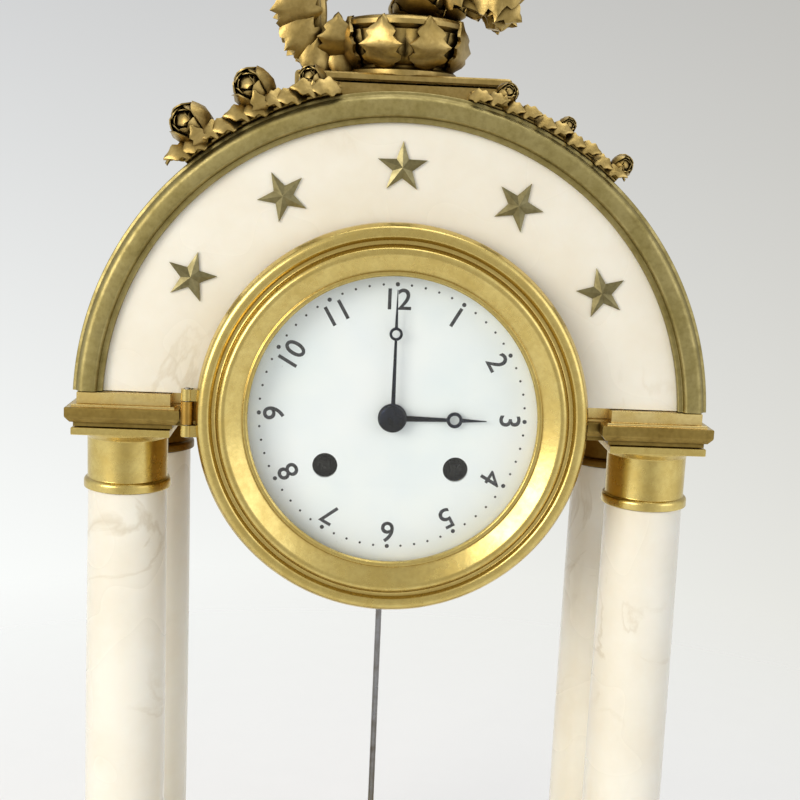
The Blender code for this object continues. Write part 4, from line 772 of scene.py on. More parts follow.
# In urn radii: arms by place and half width, sprays by place, direction and size, blooms by place and radius
left_arm = (
    (-0.6, 0.27, 0.2), (-1.0, 0.23, 0.24), (-1.36, 0.3, 0.29), (-1.62, 0.6, 0.36), (-1.69, 1.0, 0.4),
    (-1.68, 1.4, 0.38), (-1.38, 1.72, 0.3), (-0.9, 1.82, 0.25), (-0.3, 1.72, 0.18),
)
right_arm = ((0.3, 1.2, 0.2), (0.85, 1.42, 0.34), (1.28, 1.38, 0.4), (1.52, 1.14, 0.34), (1.5, 0.86, 0.14))
sprays = (
    (1.0, 1.5, 1.0, 0.1, 0.9), (-0.75, 1.95, -0.7, 0.7, 0.8), (1.05, 2.05, 1.0, 0.35, 0.8),
    (-0.45, 2.25, -0.8, 0.5, 0.7), (-1.13, 0.24, 0.04, 1.0, 1.0),
)
blooms = (
    (0.25, 1.36, 0.6), (-0.1, 2.05, 0.55), (0.75, 1.92, 0.5), (0.2, 2.48, 0.36), (0.02, 1.1, 0.34),
    (0.46, 1.12, 0.36), (0.8, 1.2, 0.34),
)
acanthus = leaf_mesh(ACANTHUS_L, width=12.0, arch=3.0, lobes=4, thick=2.4)
for arm in (left_arm, right_arm):
    line = curve_through([(a * URN_R, saddle_top + b * URN_R, half * URN_R) for a, b, half in arm], 10)
    flat_bar(bm, line, URN_Y, ARM_DEPTH, 40, ribs=8, rib_depth=0.3)
    leaves_along(bm, line, URN_Y, ARM_DEPTH, acanthus, every=9, fit=0.17)
for i in range(CUP_LEAVES):
    t = math.tau * (i + 0.5) / CUP_LEAVES
    out = Vector((math.cos(t), math.sin(t), 0.0))
    place = frame_at(on_crest(0.0, 0.06) + out * URN_R * 0.76, out * 0.24 + Vector((0.0, 0.0, 1.0)), out)
    add_mesh(bm, acanthus.copy(), place @ Matrix.Scale(1.16, 4))
for a, b, x, z, size in sprays:
    for way in (-1.0, 1.0):
        place = frame_at(on_crest(a, b, URN_Y + way * 0.2 * URN_R), (x, 0.3 * way, z), (0.0, way, 0.0))
        add_mesh(bm, acanthus.copy(), place @ Matrix.Scale(size, 4))
for a, b, r in blooms:
    add_rose(bm, on_crest(a, b), (0.35 * a, -1.0, 0.45), r * URN_R * 0.96, petals=FULL_ROSE)
    behind = on_crest(a - 0.05, b, URN_Y + 0.35 * r * URN_R)
    add_rose(bm, behind, (0.35 * a, 1.0, 0.45), r * URN_R * 0.84, petals=FULL_ROSE)
finished("gilt_crest_urn", bm, MATT_GILT, "gilt_bronze", ["crest_urn"])

# Garlands
# A cast and gilt garland lies on the rim at each side of the urn: a stem wrapped in laurel leaves, with
# three large roses on the left and three small buds on the right.
GARLAND_FROM, GARLAND_TO = 11.0, 41.0
GARLAND_LEAVES = 10
GARLAND_SINK = 0.8
STEM_R = 2.6
STEM_STEPS = 40
LAST_LEAF = 3.0
garland_y = rim_middle.y
# Each side's sign, scale, and heads as degrees from the top and radius
GARLANDS = {
    "left": (1.0, 1.0, ((25.0, 8.7), (36.5, 8.7), (15.5, 5.8))),
    "right": (-1.0, 0.72, ((17.0, 4.8), (28.5, 4.0), (40.0, 4.8))),
}


def round_rim(angle):
    """Outwards from the dial, and along the rim away from the top, at an angle positive to the left."""
    t = math.radians(90.0 + angle)
    out = Vector((math.cos(t), 0.0, math.sin(t)))
    return out, math.copysign(1.0, angle) * Vector((-math.sin(t), 0.0, math.cos(t)))


def on_rim(angle, height, depth=0.0):
    """A point above the rim at an angle from the top."""
    out = round_rim(angle)[0]
    return out * (rim_out + SEAT + height) + Vector((0.0, garland_y + depth, DIAL_Z))


garland_leaf = leaf_mesh(length=11.0, width=6.4, arch=1.6, lobes=3, thick=1.2)
for side, (sign, size, heads) in GARLANDS.items():
    bm = bmesh.new()
    stem = []
    for i in range(STEM_STEPS + 1):
        angle = sign * (GARLAND_FROM + (GARLAND_TO - GARLAND_FROM) * i / STEM_STEPS)
        spot = on_rim(angle, STEM_R * size - GARLAND_SINK)
        stem.append((spot.x, spot.z, STEM_R * size))
    flat_bar(bm, stem, garland_y, 1.7, 24, ribs=6)
    for i in range(GARLAND_LEAVES):
        angle = sign * (GARLAND_FROM + (GARLAND_TO - GARLAND_FROM - LAST_LEAF) * i / (GARLAND_LEAVES - 1))
        out, away = round_rim(angle)
        for deep, height in ((-1.0, 1.4), (0.0, 3.4), (1.0, 1.4)):
            aside = Vector((0.0, deep, 0.0))
            face = out * (0.55 if deep else 1.0) + aside * 0.85
            lift = 0.04 if not deep else 0.34 if i % 2 else 0.12
            at = on_rim(angle, height * size, 3.2 * deep * size)
            place = frame_at(at, away + out * lift + aside * 0.2, face)
            add_mesh(bm, garland_leaf.copy(), place @ Matrix.Scale(size * 1.1, 4))
    for angle, radius in heads:
        angle *= sign
        out, away = round_rim(angle)
        facing = out * 0.5 + FORWARD * 0.75 + away * 0.25
        add_rose(bm, on_rim(angle, radius + 0.6), facing, radius, petals=FULL_ROSE)
        for aside in (FORWARD, -FORWARD):
            at = on_rim(angle, 0.5, 0.5 * radius * aside.y)
            place = frame_at(at, out + aside * 0.45, aside - out * 0.4)
            add_mesh(bm, garland_leaf.copy(), place @ Matrix.Scale(radius / 10.0, 4))
    finished("gilt_garland_" + side, bm, MATT_GILT, "gilt_bronze", ["garland_" + side])
for leaf in (laurel, acanthus, garland_leaf):
    bpy.data.meshes.remove(leaf)

# Drum
# A spun brass shell with a turned front flange. It lies in the arch and holds the dial, the movement and the
# bell. The pendulum hangs through a slot in its underside.
DRUM_SIDES = 160
PIN_SIDES = 32
DRUM_WALL = 2.0
FLANGE_R = 66.0
FLANGE_T = 3.0
LEDGE_W = 2.0
LEDGE_T = 0.6
DIAL_R = 55.0
DIAL_AT = (0.0, 0.0, DIAL_Z)
SLOT_HALF_X, SLOT_HALF_Y = 10.0, 4.0
HINGE_R = 2.2
HINGE_BORE = 1.3
KNUCKLE_HALF = 4.0
hinge = box_mm("bezel_hinge_pin")[2]
# The phase of a wave texture grows by 20 over one feature size, and a ring is a full turn of phase
WAVE_SHARE = 20.0 / math.tau


def turned_brass(name, gold, ring_mm, rough):
    """Lathe-turned, lacquered brass: fine rings about the dial's axis, drawn coarser than real."""
    polish = (rough * 0.8, rough * 1.6)
    patches = {"Detail": 6.0, "Roughness": 0.65}
    base = in_patches(name, 11.0, (gold, "#7A5E2C"), (0.42, 0.78), polish, (0.3, 0.8), **patches)
    made, tree, shader, place, _, _ = base
    centred = add_node(tree, "ShaderNodeMapping", {"Vector": place, "Location": (0.0, 0.0, -DIAL_Z * MM)})
    wave = features(centred, ring_mm * WAVE_SHARE, Distortion=1.5, Detail=3.0)
    rings = add_node(tree, "ShaderNodeTexWave", wave, "Fac", wave_type="RINGS", rings_direction="Y")
    bump = add_node(tree, "ShaderNodeBump", {"Height": rings, "Strength": 0.08, "Distance": 0.0001})
    set_inputs(tree, shader, {"Normal": bump, "Metallic": 1.0})
    return made


def cut_from(bm, tools):
    """What is left of a solid after others are cut from it."""
    drafts = [in_scene("draft", as_mesh(solid, "draft")) for solid in (bm, *tools)]
    for tool in drafts[1:]:
        step = drafts[0].modifiers.new("cut", "BOOLEAN")
        step.operation = "DIFFERENCE"
        step.solver = "EXACT"
        step.object = tool
    left = bmesh.new()
    add_mesh(left, plain_mesh(drafts[0]))
    for draft in drafts[1:]:
        bpy.data.objects.remove(draft)
    return left


def knuckle(bm, low_z, high_z):
    """Adds one knuckle of the bezel's hinge, between two heights from the dial's centre."""
    tube = [(HINGE_BORE, low_z), (HINGE_R, low_z), (HINGE_R, high_z), (HINGE_BORE, high_z)]
    lathe(bm, tube, PIN_SIDES, (hinge.x, hinge.y, DIAL_Z))


CASE_BRASS = turned_brass("turned_lacquered_brass", "#B58F45", 0.9, 0.3)
rod_low, rod_high, rod_middle = box_mm("pendulum_rod")
drum_back = box_mm("drum_shell")[1].y
front, back = dial_low.y, dial_low.y + FLANGE_T
inner_r, seat_r, ledge_r = DRUM_R - DRUM_WALL, DIAL_R + SEAT, DIAL_R - LEDGE_W
seat_y = dial_high.y + SEAT
shell = [
    (seat_r, front), (FLANGE_R, front, 0.5), (FLANGE_R, back, 0.3), (DRUM_R, back),
    (DRUM_R, drum_back, 0.4), (inner_r, drum_back), (inner_r, back + LEDGE_T), (ledge_r, back + LEDGE_T),
    (ledge_r, seat_y), (seat_r, seat_y),
]
bm = bmesh.new()
lathe(bm, eased(shell, 3), DRUM_SIDES, DIAL_AT, "Y")
slot = bmesh.new()
slot_plan = rectangle(SLOT_HALF_X, SLOT_HALF_Y, (0.0, rod_middle.y))
moulded(slot, slot_plan, [(0.0, -DRUM_R - 4.0), (0.0, -DRUM_R + 8.0)], DIAL_Z)
bm = cut_from(bm, [slot])
knuckle(bm, -KNUCKLE_HALF, KNUCKLE_HALF)
web_in, web_out, web_y = hinge.x + 1.6, hinge.x - HINGE_R * 0.9, hinge.y + 1.4
web = [(web_in, back), (web_out, back), (web_out, web_y), (web_in, web_y)]
ear = rectangle(3.6, FLANGE_T / 2, (-FLANGE_R - 1.4, (front + back) / 2))
for plan in (web, ear):
    moulded(bm, plan, [(0.0, -KNUCKLE_HALF), (0.0, KNUCKLE_HALF)], DIAL_Z)
finished("brass_drum", bm, CASE_BRASS, "brass", ["drum_shell"])

# Dial
# A copper disc with fired white enamel, slightly domed, with black fired numerals and minute dots. Its centre
# and two winding holes are open, and the squares of the winding arbors show in them.
DIAL_DOME = 0.35
SMALL_SIDES = 48
DIAL_RINGS = 12
NUMERAL_R = 41.0
NUMERAL_SIZE = 10.36
NUMERAL_BOLD = 0.13
MINUTE_R = 46.6
HOUR_DOT = 0.75
MINUTE_DOT = 0.42
INK_T = 0.06
WINDING_HOLE_R = 4.4
CENTRE_HOLE_R = 4.5

# White vitreous enamel, fired smooth: cool white, faintly uneven and pinholed, under a glassy gloss
ENAMEL, tree, shader, place, uneven, white = in_patches(
    "fired_white_enamel", 16.0, ("#FAFEFF", "#F3F9FD"), (0.35, 0.7), Detail=4.0
)
pinholes = add_node(tree, "ShaderNodeTexNoise", features(place, 1.1, Detail=2.0))
enamel_finish = {
    "Base Color": shaded(tree, pinholes, (0.74, 0.8), white, "#A79F92", most=0.35),
    "Roughness": wander(tree, place, 7.0, (0.3, 0.7), (0.14, 0.24)),
    "Normal": add_node(tree, "ShaderNodeBump", {"Height": uneven, "Strength": 0.05, "Distance": 0.0006}),
    "Coat Weight": 0.6,
    "Coat Roughness": 0.05,
    "IOR": 1.5,
}
set_inputs(tree, shader, enamel_finish)

# Black ceramic ink, fired on: a dark grey where it was laid thin
INK, tree, shader, *_ = in_patches(
    "fired_black_enamel", 2.2, ("#15141A", "#34333C"), (0.4, 0.75), (0.22, 0.4), Detail=4.0
)
set_inputs(tree, shader, {"Coat Weight": 0.3, "Coat Roughness": 0.1})


def dial_front(r):
    """Depth of the enamel's face at a distance from the dial's centre."""
    return dial_low.y + DIAL_DOME * (r / DIAL_R) ** 2


def drill(radius, x, z):
    """A bar that cuts a round hole through the dial."""
    bm = bmesh.new()
    low, high = dial_low.y - 2.0, dial_high.y + 2.0
    lathe(bm, [(0.0, low), (radius, low), (radius, high), (0.0, high)], SMALL_SIDES, (x, 0.0, z), "Y")
    return bm


disc = [(r, dial_front(r)) for r in (DIAL_R * k / DIAL_RINGS for k in range(DIAL_RINGS + 1))]
disc += [(DIAL_R, dial_high.y), (0.0, dial_high.y)]
bm = bmesh.new()
lathe(bm, disc, DRUM_SIDES, DIAL_AT, "Y")
arbor = box_mm("going_winding_arbor")[2]
holes = [drill(CENTRE_HOLE_R, 0.0, DIAL_Z)]
holes += [drill(WINDING_HOLE_R, x, arbor.z) for x in (-arbor.x, arbor.x)]
finished("enamel_dial", cut_from(bm, holes), ENAMEL, "enamel", ["dial"])

# Short round bars at even steps round a circle: the dots of a dial, or the ridges of a nut
bar_inputs = {"Base": "Geometry", "Count": "Int", "Ring": "Float", "Sides": "Int", "Radius": "Float"}
BARS, given = node_group("bars_round_ring", **bar_inputs, Height="Float", Surface="Material")
ring = add_node(BARS, "GeometryNodeMeshCircle", {"Vertices": given["Count"], "Radius": given["Ring"]})
bar = {"Vertices": given["Sides"], "Radius": given["Radius"], "Depth": given["Height"]}
spread(BARS, ring, add_node(BARS, "GeometryNodeMeshCylinder", bar, "Mesh"), given["Surface"])

TO_FACE = Matrix.Translation(DIAL_AT) @ Matrix.Rotation(math.radians(90), 4, "X")
bm = bmesh.new()
for count, size in ((60, MINUTE_DOT), (12, HOUR_DOT)):
    values = {"Count": count, "Ring": MINUTE_R, "Sides": 16, "Radius": size, "Height": INK_T, "Surface": INK}
    add_grown(bm, bpy.data.meshes.new("none"), BARS, TO_FACE, **values)
for hour in range(1, 13):
    text = bpy.data.curves.new("numeral", "FONT")
    text.body = str(hour)
    text.size = NUMERAL_SIZE
    text.extrude = INK_T / 2
    text.resolution_u = 5
    text.align_x = "CENTER"
    text.align_y = "CENTER"
    mesh = plain_mesh(in_scene("numeral", text))
    bolder = bmesh.new()
    bolder.from_mesh(mesh)
    bmesh.ops.remove_doubles(bolder, verts=bolder.verts, dist=0.001)
    bolder.normal_update()
    for vert in bolder.verts:
        vert.co += Vector((vert.normal.x, vert.normal.y, 0.0)).normalized() * NUMERAL_BOLD
    bolder.to_mesh(mesh)
    bolder.free()
    turn = Matrix.Rotation(-math.radians(30 * hour), 4, "Z") @ Matrix.Translation((0.0, NUMERAL_R, 0.0))
    add_mesh(bm, mesh, TO_FACE @ turn)
for vert in bm.verts:
    away = Vector((vert.co.x, vert.co.z - DIAL_Z)).length
    vert.co.y += dial_front(away) - INK_T * 0.3
finished("dial_numerals", bm, INK, "enamel")

# Bezel and glass
# A turned and burnished gilt-bronze ring that swings on the drum's hinge. It carries a domed glass in a
# rebate, with a round outer edge, a hollow, and a broad band that slopes in to the glass.
APERTURE_R = 50.0
REBATE_R = APERTURE_R + 2.0
GLASS_T = 1.4
GLASS_RISE = 6.0
GLASS_PLAY = 0.1
DOME_RINGS = 16
bezel_low, bezel_high, _ = box_mm("bezel")
r, front, back = bezel_high.x, bezel_low.y, bezel_high.y
section = [
    (r, back), (r, front + 5.0, 2.0), (r - 1.5, front + 1.6, 2.2), (r - 4.6, front + 1.6, 1.4),
    (r - 5.8, front + 3.1, 0.7), (r - 7.1, front + 3.0, 0.7), (r - 8.5, front, 1.6),
    (r - 10.4, front, 1.8), (REBATE_R, front + 3.4, 0.35), (APERTURE_R + 1.6, front + 2.8, 0.4),
    (APERTURE_R + 0.5, front + 2.8, 0.4), (APERTURE_R, front + 3.4), (APERTURE_R, front + 4.2),
    (REBATE_R, front + 4.2), (REBATE_R, back),
]
bm = bmesh.new()
lathe(bm, eased(section), DRUM_SIDES, DIAL_AT, "Y")
web = rectangle(1.6, HINGE_R * 0.8, (hinge.x + HINGE_BORE + 1.6, hinge.y))
near, far = KNUCKLE_HALF + SEAT, 2 * KNUCKLE_HALF + SEAT
for low_z, high_z in ((near, far), (-far, -near)):
    knuckle(bm, low_z, high_z)
    moulded(bm, web, [(0.0, low_z), (0.0, high_z)], DIAL_Z)
finished("gilt_bezel", bm, BURNISHED_GILT, "gilt_bronze", ["bezel"], "bezel_door")


def let_through(tree, shader, share):
    """Lets a share of the rays pass a surface as if it were not there."""
    clear = add_node(tree, "ShaderNodeBsdfTransparent")
    mixed = add_node(tree, "ShaderNodeMixShader", {0: share, 1: shader.outputs[0], 2: clear})
    set_inputs(tree, tree.nodes["Material Output"], {"Surface": mixed})


# Blown and ground window glass: clear, faintly green, and it lets the light through to the dial
GLASS, tree, shader, _, cast, _ = in_patches(
    "blown_clear_glass", 60.0, ("#FBFDFC", "#F4FAF7"), (0.3, 0.7), (0.01, 0.03)
)
ripple = add_node(tree, "ShaderNodeBump", {"Height": cast, "Strength": 0.01, "Distance": 0.001})
set_inputs(tree, shader, {"Normal": ripple, "Transmission Weight": 1.0, "IOR": 1.46})
rays = add_node(tree, "ShaderNodeLightPath", out=None)
soft_rays = {0: rays["Is Shadow Ray"], 1: rays["Is Diffuse Ray"]}
let_through(tree, shader, add_node(tree, "ShaderNodeMath", soft_rays, operation="MAXIMUM"))

glass_high = box_mm("bezel_glass")[1]
inside, outside = glass_high.y - GLASS_PLAY, glass_high.y - GLASS_T
dome = []
for k in (i / DOME_RINGS for i in range(DOME_RINGS + 1)):
    dome.append((k * (APERTURE_R - 1.0), GLASS_RISE * (1.0 - k**2)))
section = [(r, inside - rise) for r, rise in dome] + [(glass_high.x, inside), (glass_high.x, outside)]
section += [(r, outside - rise) for r, rise in reversed(dome)]
turned_piece("domed_glass", section, DRUM_SIDES, DIAL_AT, "Y", GLASS, "glass", ["bezel_glass"], "bezel_door")

# Hands
# Thin steel hands, filed to shape and blued almost black in the fire. Each has a round boss on its pipe and
# a small pierced ring near its tip, and the dial reads three o'clock.
HAND_T = 0.8
RING_PLACE = 0.66
COLLET_R = 4.7

# Polished steel blued in the fire: nearly black, with a blue sheen where it is thin
BLUED, tree, shader, place, *_ = in_patches(
    "fire_blued_steel", 12.0, ("#15161C", "#23283A"), (0.35, 0.7), Detail=3.0
)
sheen = wander(tree, place, 2.0, (0.3, 0.7), (0.24, 0.4))
set_inputs(tree, shader, {"Roughness": sheen, "Metallic": 1.0})


def hand(node, boss, bore, width, ring_r):
    """A hand that points up from the origin, with the length and depth of its CAD node."""
    low, high, _ = box_mm(node)
    length = max(high.x, high.z - DIAL_Z)
    front, back = low.y, low.y + HAND_T
    ring_at = length * RING_PLACE
    bm = bmesh.new()
    disc = [(bore, front), (boss, front, 0.25), (boss, back, 0.1), (bore, back)]
    lathe(bm, eased(disc, 3), SMALL_SIDES, (0.0, 0.0, 0.0), "Y")
    ring = [(ring_r * 0.6, front), (ring_r, front, 0.15), (ring_r, back, 0.1), (ring_r * 0.6, back)]
    lathe(bm, eased(ring, 3), PIN_SIDES, (0.0, 0.0, ring_at), "Y")
    # Stem and tip as half widths and heights at their two ends
    stem = ((width, boss - 0.3), (width * 0.6, ring_at - ring_r))
    tip = ((width * 0.7, ring_at + ring_r - 0.15), (0.12, length))
    for (w0, z0), (w1, z1) in (stem, tip):
        blade = ((-w0, z0), (w0, z0), (w1, z1), (-w1, z1))
        skinned(bm, [[(x, y, z) for x, z in blade] for y in (front + 0.05, back - 0.05)])
    return bm


bm = hand("minute_hand", boss=3.9, bore=2.2, width=0.75, ring_r=2.3)
bmesh.ops.translate(bm, vec=DIAL_AT, verts=bm.verts)
finished("blued_minute_hand", bm, BLUED, "blued_steel", ["minute_hand"], "centre")
y = box_mm("minute_hand")[0].y - 0.05
collet = eased([(0.0, y), (COLLET_R, y), (COLLET_R, y - 0.8, 0.7), (0.0, y - 1.4)], 5)
turned_piece("blued_collet", collet, SMALL_SIDES, DIAL_AT, "Y", BLUED, "blued_steel", (), "centre")
bm = hand("hour_hand", boss=5.1, bore=3.4, width=1.0, ring_r=2.8)
quarter = Matrix.Rotation(math.radians(90), 4, "Y")
bmesh.ops.transform(bm, matrix=Matrix.Translation(DIAL_AT) @ quarter, verts=bm.verts)
finished("blued_hour_hand", bm, BLUED, "blued_steel", ["hour_hand"], "hour")

# Pendulum
# A drawn steel rod that hangs from the cock behind the movement. It carries a turned gilt bob, held up by a
# knurled nut on the thread at its lower end.
PENDULUM_ROD_R = 1.2
ROD_SIDES = 20
ROUND_SIDES = 96
EYE_R = 3.2
EYE_BORE = 1.7
NUT_RIDGES = 28
RIDGE_R = 0.5


def drawn_steel(name, bright, hazed):
    """Drawn and polished steel with a faint haze of age."""
    patches = {"Detail": 6.0, "Roughness": 0.65}
    base = in_patches(name, 7.0, (bright, hazed), (0.45, 0.75), (0.22, 0.45), (0.3, 0.75), **patches)
    made, tree, shader, *_ = base
    set_inputs(tree, shader, {"Metallic": 1.0})
    return made


STEEL = drawn_steel("drawn_polished_steel", "#8C8D90", "#6A6258")
rod_y = rod_middle.y
foot, top, r = rod_low.z, rod_high.z - 3.0, PENDULUM_ROD_R
rod = [(0.0, foot), (r * 0.75, foot), (r, foot + 0.6), (r, top), (0.0, top)]
eye = [(EYE_BORE, -1.0, 0.3), (EYE_R, -1.0, 0.4), (EYE_R, 1.0, 0.4), (EYE_BORE, 1.0, 0.3)]
bm = bmesh.new()
lathe(bm, rod, ROD_SIDES, (0.0, rod_y, 0.0))
lathe(bm, eased(eye, 3, closed=True), PIN_SIDES, (0.0, rod_y, rod_high.z - EYE_R), "Y")
finished("steel_pendulum_rod", bm, STEEL, "steel", ["pendulum_rod"], "pendulum")

low, high, middle = box_mm("pendulum_bob")
r, half = (high.x - low.x) / 2, (high.y - low.y) / 2
# One face of the bob, in shares of its radius and half its thickness
face = (
    (0.0, 1.0), (0.2, 0.98), (0.5, 0.86), (0.74, 0.66), (0.78, 0.5), (0.83, 0.5), (0.87, 0.62),
    (0.93, 0.6), (1.0, 0.2),
)
bob = [(a * r, b * half) for a, b in face] + [(a * r, -b * half) for a, b in reversed(face)]
finish = (BURNISHED_GILT, "gilt_bronze", ["pendulum_bob"], "pendulum")
turned_piece("gilt_pendulum_bob", bob, ROUND_SIDES, (0.0, rod_y, middle.z), "Y", *finish)

low, high, middle = box_mm("rating_nut")
r, tall = (high.x - low.x) / 2 - RIDGE_R, high.z - low.z
bm = bmesh.new()
nut = eased([(1.5, 0.0), (r, 0.0, 0.4), (r, tall, 0.4), (1.5, tall)], 3)
lathe(bm, nut, SMALL_SIDES, (0.0, rod_y, low.z))
values = {"Count": NUT_RIDGES, "Ring": r, "Sides": 8, "Radius": RIDGE_R, "Height": tall - 1.0}
nut_at = Matrix.Translation((0.0, rod_y, middle.z))
add_grown(bm, bpy.data.meshes.new("none"), BARS, nut_at, Surface=BURNISHED_GILT, **values)
finished("gilt_rating_nut", bm, BURNISHED_GILT, "gilt_bronze", ["rating_nut"], "rating_nut")

# Movement
# Two brass plates on pillars hold the going and striking trains. Wheels are brass, arbors, pinions and
# springs steel, and a turned bell hangs behind the back plate. The back cover hides them until it is off.
WHEEL_BRASS = turned_brass("grained_wheel_brass", "#C09A4E", 0.7, 0.26)
BELL_METAL = turned_brass("turned_bell_metal", "#A98A52", 0.6, 0.22)
# The winding arbors' near-black steel is painted shade, for the shade down in the winding holes.
SHADED_ARBOR_STEEL = drawn_steel("painted_shade_arbor_steel", "#2B2A2A", "#1C1815")
BRASS_WORK = (
    "front_plate", "back_plate", "pendulum_cock", "going_barrel", "strike_barrel", "strike_wheel",
    "intermediate_wheel", "centre_wheel", "third_wheel", "escape_wheel", "minute_wheel", "hour_wheel",
)
STEEL_WORK = (
    "bezel_hinge_pin", "going_mainspring", "strike_mainspring", "pallet_anchor", "hammer", "cannon_pinion",
)
WINDING = ("going_winding_arbor", "strike_winding_arbor")
BELL_WALL = 1.6
BELL_STEPS = 14
BELL_DEG = 86.4

for names, surface in ((BRASS_WORK, WHEEL_BRASS), (STEEL_WORK, STEEL), (WINDING, SHADED_ARBOR_STEEL)):
    for name in names:
        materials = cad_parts[name].data.materials
        materials.clear()
        materials.append(surface)

low, high, _ = box_mm("bell")
r, deep = high.x, high.y - low.y
full = math.sin(math.radians(BELL_DEG))
outer, inner = [], []
for t in (math.radians(BELL_DEG * i / BELL_STEPS) for i in range(BELL_STEPS + 1)):
    outer.append((r * math.cos(t), low.y + deep * math.sin(t) / full))
    inner.append(((r - BELL_WALL) * math.cos(t), low.y + (deep - BELL_WALL) * math.sin(t)))
finish = (BELL_METAL, "bell_metal", ["bell"])
turned_piece("turned_bell", outer + inner[::-1], ROUND_SIDES, DIAL_AT, "Y", *finish)

# Back cover
# A spun brass cap with a raised edge. Its skirt springs into the drum, and it is pulled off by a small turned
# knob in its middle.
SKIRT_T = 1.6
low, high, _ = box_mm("back_cover")
r, y, skirt = high.x, drum_back + SEAT, inner_r - SEAT
cap = [
    (0.0, y), (skirt - SKIRT_T, y), (skirt - SKIRT_T, low.y), (skirt, low.y), (skirt, y), (r, y, 0.4),
    (r, y + 1.4, 0.9), (r - 4.0, y + 2.0, 0.8), (r - 5.0, y + 1.4, 0.4), (14.0, y + 1.4, 1.0),
    (13.0, y + 2.0, 0.6), (4.6, y + 2.0, 0.6), (3.0, y + 2.6, 0.6), (2.6, y + 3.8, 0.6),
    (4.2, y + 4.4, 0.7), (4.2, y + 6.0, 0.9), (0.0, high.y),
]
finish = (CASE_BRASS, "brass", ["back_cover"], "back_cover")
turned_piece("brass_back_cover", eased(cap, 5), DRUM_SIDES, DIAL_AT, "Y", *finish)

# Stage
# A pale card floor that fades into a pale backdrop, with soft studio light from the left, the front and
# above. The camera stands where the photograph was taken.
FLOOR_SIZE = 1.5
FLOOR_KEPT = 0.22
FLOOR_Z = -0.0005
CAMERA_AT = (-0.01704, -0.50618, 0.37492)
CAMERA_YAW = 2.456
CAMERA_PITCH = 9.382
CAMERA_ROLL = 2.490
FOCAL_PIXELS = 1316.7
FRAME_PIXELS = 800.0
SENSOR_MM = 36.0

# Matt pale card that keeps the object's shadow
CARD, tree, shader, place, *_ = in_patches(
    "matt_pale_card", 30.0, ("#FDFDFC", "#FAFAF9"), (0.0, 1.0), Detail=4.0
)
set_inputs(tree, shader, {"Roughness": 0.9})
far = add_node(tree, "ShaderNodeVectorMath", {0: place}, "Value", operation="LENGTH")
fade = {"Value": far, "From Min": FLOOR_KEPT, "From Max": FLOOR_SIZE / 2}
let_through(tree, shader, add_node(tree, "ShaderNodeMapRange", fade))

bm = bmesh.new()
bmesh.ops.create_grid(bm, x_segments=1, y_segments=1, size=FLOOR_SIZE / 2)
mesh = bpy.data.meshes.new("floor")
bm.to_mesh(mesh)
bm.free()
mesh.materials.append(CARD)
floor = in_scene("floor", mesh)
floor.location = (0.0, 0.0, FLOOR_Z)

# An even white light on the object, and a graded backdrop for what the camera, metal and glass see
world = bpy.data.worlds.new("studio")
bpy.context.scene.world = world
world.use_nodes = True
tree = world.node_tree
tree.nodes.clear()
rays = add_node(tree, "ShaderNodeLightPath", out=None)
straight = {0: rays["Is Camera Ray"], 1: rays["Is Glossy Ray"]}
mirror = add_node(tree, "ShaderNodeMath", straight, operation="MAXIMUM")
seen = add_node(tree, "ShaderNodeMath", {0: mirror, 1: rays["Is Transmission Ray"]}, operation="MAXIMUM")
ground = add_node(tree, "ShaderNodeTexCoord", out="Generated")
way = add_node(tree, "ShaderNodeSeparateXYZ", {0: ground}, None)
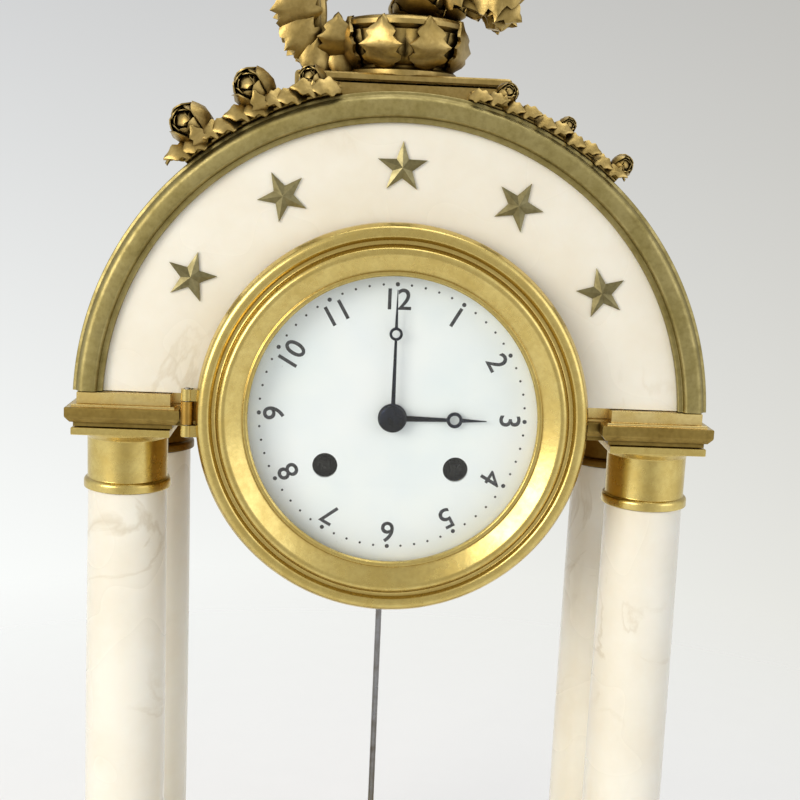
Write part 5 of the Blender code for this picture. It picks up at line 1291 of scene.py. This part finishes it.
# The backdrop is painted darker towards the top and on the right, as painted shade; in front of the object it
# is a darker grey for metal and glass to mirror.
left_side = shaded(tree, way["Z"], (-0.3, 0.15), "#FCFEFC", "#D0D1D2")
right_side = shaded(tree, way["Z"], (-0.4, 0.15), "#F0F0EA", "#C1C0BC")
behind = shaded(tree, way["X"], (-0.25, 0.33), left_side, right_side)
aside = add_node(tree, "ShaderNodeMath", {0: way["X"]}, operation="ABSOLUTE")
room = shaded(tree, aside, (0.1, 0.7), "#C8C5BC", "#FFFFFF")
backdrop = shaded(tree, way["Y"], (-0.3, 0.5), room, behind)
light = add_node(tree, "ShaderNodeBackground", {"Color": colour("#F6F7FA"), "Strength": 0.46})
shown = add_node(tree, "ShaderNodeBackground", {"Color": backdrop, "Strength": 1.0})
both = add_node(tree, "ShaderNodeMixShader", {0: seen, 1: light, 2: shown})
add_node(tree, "ShaderNodeOutputWorld", {"Surface": both}, None)

# Lamps as place, target height, size, watts, tint, and whether metal and glass mirror them
LAMPS = {
    "key_left": ((-1.4, -1.4, 0.85), 0.27, 1.1, 22.0, "#FFF8EC", True),
    "front_soft": ((-0.3, -2.2, 0.6), 0.27, 1.2, 7.5, "#FFFCF6", False),
    "fill_right": ((1.5, -1.1, 0.8), 0.25, 1.2, 5.0, "#F6F6FF", True),
    "top_soft": ((0.2, 0.3, 1.9), 0.3, 1.4, 13.0, "#FFFFFF", True),
}
for name, (at, target_z, size, watts, tint, mirrored) in LAMPS.items():
    lamp = bpy.data.lights.new(name, "AREA")
    lamp.shape = "SQUARE"
    lamp.size = size
    lamp.energy = watts
    lamp.color = colour(tint)[:3]
    holder = in_scene(name, lamp)
    holder.location = at
    holder.rotation_euler = (Vector((0.0, 0.0, target_z)) - Vector(at)).to_track_quat("-Z", "Y").to_euler()
    holder.visible_glossy = mirrored
    holder.visible_transmission = mirrored

yaw, pitch, roll = (math.radians(a) for a in (CAMERA_YAW, CAMERA_PITCH, CAMERA_ROLL))
ahead = Vector((math.sin(yaw) * math.cos(pitch), math.cos(yaw) * math.cos(pitch), -math.sin(pitch)))
level = Vector((math.cos(yaw), -math.sin(yaw), 0.0))
upward = level.cross(ahead)
right = math.cos(roll) * level + math.sin(roll) * upward
above = -math.sin(roll) * level + math.cos(roll) * upward
lens = bpy.data.cameras.new("camera")
lens.sensor_width = SENSOR_MM
lens.lens = SENSOR_MM * FOCAL_PIXELS / FRAME_PIXELS
camera = in_scene("camera", lens)
turn = Matrix((right, above, -ahead)).transposed().to_4x4()
camera.matrix_world = Matrix.Translation(Vector(CAMERA_AT)) @ turn
bpy.context.scene.camera = camera
bpy.context.scene.view_settings.view_transform = "Standard"
